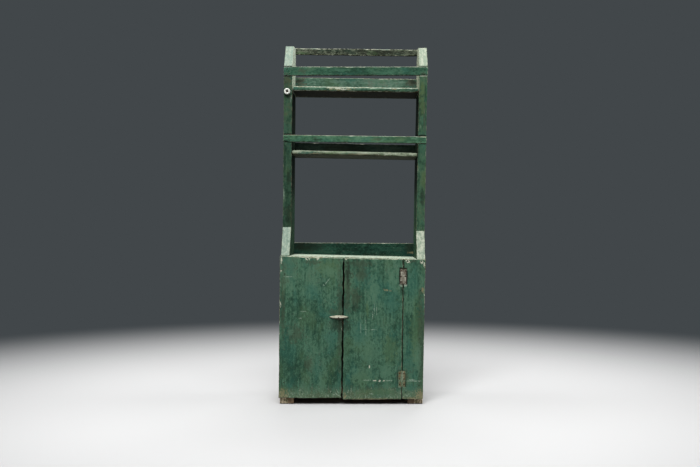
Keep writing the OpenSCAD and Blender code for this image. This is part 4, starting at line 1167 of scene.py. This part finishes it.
def nails(node, body, along, finish):
    # Each nail is a profile turned about its axis: domed head, short shank and a point. The radius of
    # the head goes up and down with noise round the turn, as a hammer leaves it.
    across, places = nailPlaces(node, along)
    sides = nailShape["sides"]
    turn = turnAngles(sides)
    grids = []
    for count, (middle, ends, way, headR, shankR, headT) in enumerate(places):
        shank = (ends[1] - ends[0]) * nailShape["shank"]
        tip = headT - (ends[1] - ends[0])
        profile = np.array([
            (0, headT), (headR * 0.45, headT * 0.96), (headR * 0.8, headT * nailShape["dome"]),
            (headR, headT * 0.35), (headR * 0.94, 0.00002), (shankR, 0.00001), (shankR, headT - shank),
            (0, tip),
        ])
        spots = np.array([np.cos(turn), np.sin(turn), turn * 0 + count * 3.3]).T + len(node)
        knock = 1 + nailShape["wobble"] * layeredNoise(spots, (0.9,) * 3, nailShape["seed"] + count, 2)
        isHead = (np.arange(len(profile)) < 5)[:, None]
        radius = profile[:, :1] * np.where(isHead, np.minimum(knock, 1), 1)
        grid = np.zeros((len(profile), sides, 3))
        grid[:, :, across[0]] = middle[0] + radius * np.cos(turn)
        grid[:, :, across[1]] = middle[1] + radius * np.sin(turn)
        base = ends[1] - headT if way > 0 else ends[0] + headT
        grid[:, :, along] = base + way * profile[:, 1:]
        grids.append(grid)
    grids = np.stack(grids)
    number = np.arange(grids[..., 0].size).reshape(grids.shape[:3])
    closeShell(newPiece(node + "_forged", grids, wrapQuads(number), body, node, finish))


for node, (body, along, finish) in nailGroups.items():
    nails(node, body, along, finish)
print("nails made")


# Porcelain ring

ringShape = {
    "around": 72, "section": 26, "power": 2.6, "hole": 0.0026, "openRadius": 0.006, "floor": 0.005,
    "uneven": 0.00025, "seed": 5,
}
ringLook = {
    "glaze": (212, 215, 206), "cloudy": (190, 190, 176), "crack": (160, 150, 130), "dirt": (120, 112, 92),
    "dirtFrom": 0.008, "dirtFull": 0.003, "coat": 0.6,
}


def porcelainFinish(back):
    f = Finish("glazed_porcelain")
    place = f.objectPlace()
    cloud = f.noise(place, (0.012, 0.012, 0.012), 4, 0.6)
    crack = f.noise(place, (0.002, 0.002, 0.002), 3, 0.6)
    dirty = f.rise(f.part(place, 1), back - ringLook["dirtFrom"], back - ringLook["dirtFull"])
    colour = f.layers(ringLook["glaze"], ringLook, [
        ("cloudy", f.rise(cloud, 0.5, 0.7) * 0.5),
        ("crack", f.rise(crack, 0.66, 0.74) * 0.3),
        ("dirt", dirty * 0.55),
    ])
    return f.done(colour, cloud * 0.15 + 0.12, cloud, 0.0003, **{"Coat Weight": ringLook["coat"]})


def porcelainRing():
    # A closed section turned about the screw: a thin floor, then a round lip whose outline is a
    # superellipse. The section's radius is a little uneven round the turn.
    node = "porcelain_ring"
    low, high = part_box(node)
    middle = (low + high) / 2
    outer, back = (high.x - low.x) / 2, high.y
    half = (back - low.y) / 2
    lip = (outer - ringShape["openRadius"]) / 2
    angle = np.linspace(-np.pi * 0.5, np.pi * 1.32, ringShape["section"])
    power = 2 / ringShape["power"]
    radius = outer - lip + np.sign(np.cos(angle)) * np.abs(np.cos(angle)) ** power * lip
    depth = half + np.sign(np.sin(angle)) * np.abs(np.sin(angle)) ** power * half
    keep = (angle < np.pi / 2) | (depth > ringShape["floor"])
    radius = np.append(radius[keep], [outer - 2 * lip + 0.0004, ringShape["hole"], ringShape["hole"]])
    depth = np.append(depth[keep], [ringShape["floor"], ringShape["floor"], 0])
    turn = turnAngles(ringShape["around"])
    spots = np.column_stack([np.cos(turn), np.sin(turn), turn * 0])
    uneven = ringShape["uneven"] * (layeredNoise(spots, (0.8,) * 3, ringShape["seed"], 2) - 1)
    r = radius[:, None] + uneven * (radius[:, None] > outer - lip)
    y = back - depth[:, None] + 0 * r
    points = np.stack([middle.x + r * np.cos(turn), y, middle.z + r * np.sin(turn)], axis=-1)
    number = np.arange(r.size).reshape(r.shape)
    quads = wrapQuads(np.vstack([number, number[:1]]))
    finish = porcelainFinish(back)
    closeShell(newPiece(node + "_glazed", points, quads, "carcass", node, finish))


porcelainRing()
print("ring made")


# Turn button

buttonShape = {
    "along": 72, "around": 48, "tip": 0.1, "power": 1.1, "above": 0.94, "below": 0.72, "raise": 0.0042,
    "back": 0.34, "facets": 0.07, "seed": 3,
}
buttonLook = {
    "deep": (120, 116, 94), "middle": (160, 160, 138), "light": (226, 226, 208), "stain": (120, 100, 72),
    "line": (66, 54, 40), "lowerShade": (58, 50, 38), "lowerShadeFrom": 0.0015, "lowerShadeFull": -0.0045,
}


def buttonFinish(middleZ):
    f = Finish("handled_wood")
    place = f.objectPlace()
    streak = f.noise(place, (0.05, 0.004, 0.0022), 5, 0.62)
    blotch = f.noise(place, (0.014, 0.01, 0.008), 4, 0.6)
    hair = f.noise(place, (0.012, 0.0008, 0.0008), 3, 0.6)
    # the lower half turns darker: painted shade under the light from above
    low = f.part(place, 2) + blotch.swing(0.006)
    below = f.rise(low, middleZ + buttonLook["lowerShadeFrom"], middleZ + buttonLook["lowerShadeFull"])
    colour = f.layers(f.ramp(streak, buttonLook, 0.12), buttonLook, [
        ("stain", f.rise(blotch, 0.52, 0.66) * 0.45),
        ("line", f.rise(hair + blotch * 0.4, 0.76, 0.9) * 0.6),
        ("lowerShade", below * 0.85),
    ])
    return f.done(colour, blotch * 0.2 + 0.45, streak * 0.6 + hair * 0.5, 0.0006)


def turnButton():
    # Length times a closed section. The height falls off along the length by (1 - t^2) to a power.
    # The section is a blunt wedge: flat behind, and its front rises to a ridge, so the upper facet
    # looks up and the lower one down. Knife cuts dent it by stepped noise.
    node = "turn_button"
    low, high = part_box(node)
    middle = (low + high) / 2
    halfL, halfH, thick = (high.x - low.x) / 2, (high.z - low.z) / 2, high.y - low.y
    t = -np.cos(np.linspace(0, np.pi, buttonShape["along"]))[:, None]
    full = buttonShape["tip"] + (1 - buttonShape["tip"]) * np.maximum(1 - t * t, 0) ** buttonShape["power"]
    full = full * np.sqrt(np.clip((1 - np.abs(t)) / 0.03, 0, 1))
    angle = turnAngles(buttonShape["around"])
    upDown = np.cos(angle)[None]
    reach = np.where(upDown > 0, buttonShape["above"], buttonShape["below"]) * halfH
    ridge = 1 - np.abs(upDown) ** 1.25
    inFront = np.sin(angle)[None] > 0
    back = buttonShape["back"]
    rise = back + (0.66 * full + 0.05) * ridge / 1.05
    forward = thick * np.where(inFront, rise, back * (1 - 0.9 * ridge ** 0.3))
    forward = np.where(full > 0.02, forward, thick * 0.2)
    spots = np.stack(np.broadcast_arrays(t * 4, upDown * 1.8, forward * 90), axis=-1).reshape(-1, 3)
    knife = layeredNoise(spots, (1.0,) * 3, buttonShape["seed"], 2).reshape(forward.shape)
    shrink = 1 - buttonShape["facets"] * (1 + np.round(knife * 4) / 4)
    x = middle.x + t * halfL + 0 * forward
    y = high.y - forward * np.where(inFront, shrink, 1)
    z = middle.z + buttonShape["raise"] * (1 - full) + upDown * reach * full * shrink
    grid = np.stack([x, y, z], axis=-1)
    grid[[0, -1]] = grid[[0, -1]].mean(axis=1, keepdims=True)
    quads = wrapQuads(np.arange(x.size).reshape(x.shape))
    finish = buttonFinish(middle.z)
    closeShell(newPiece(node + "_whittled", grid, quads, node, node, finish))


turnButton()
print("turn button made")
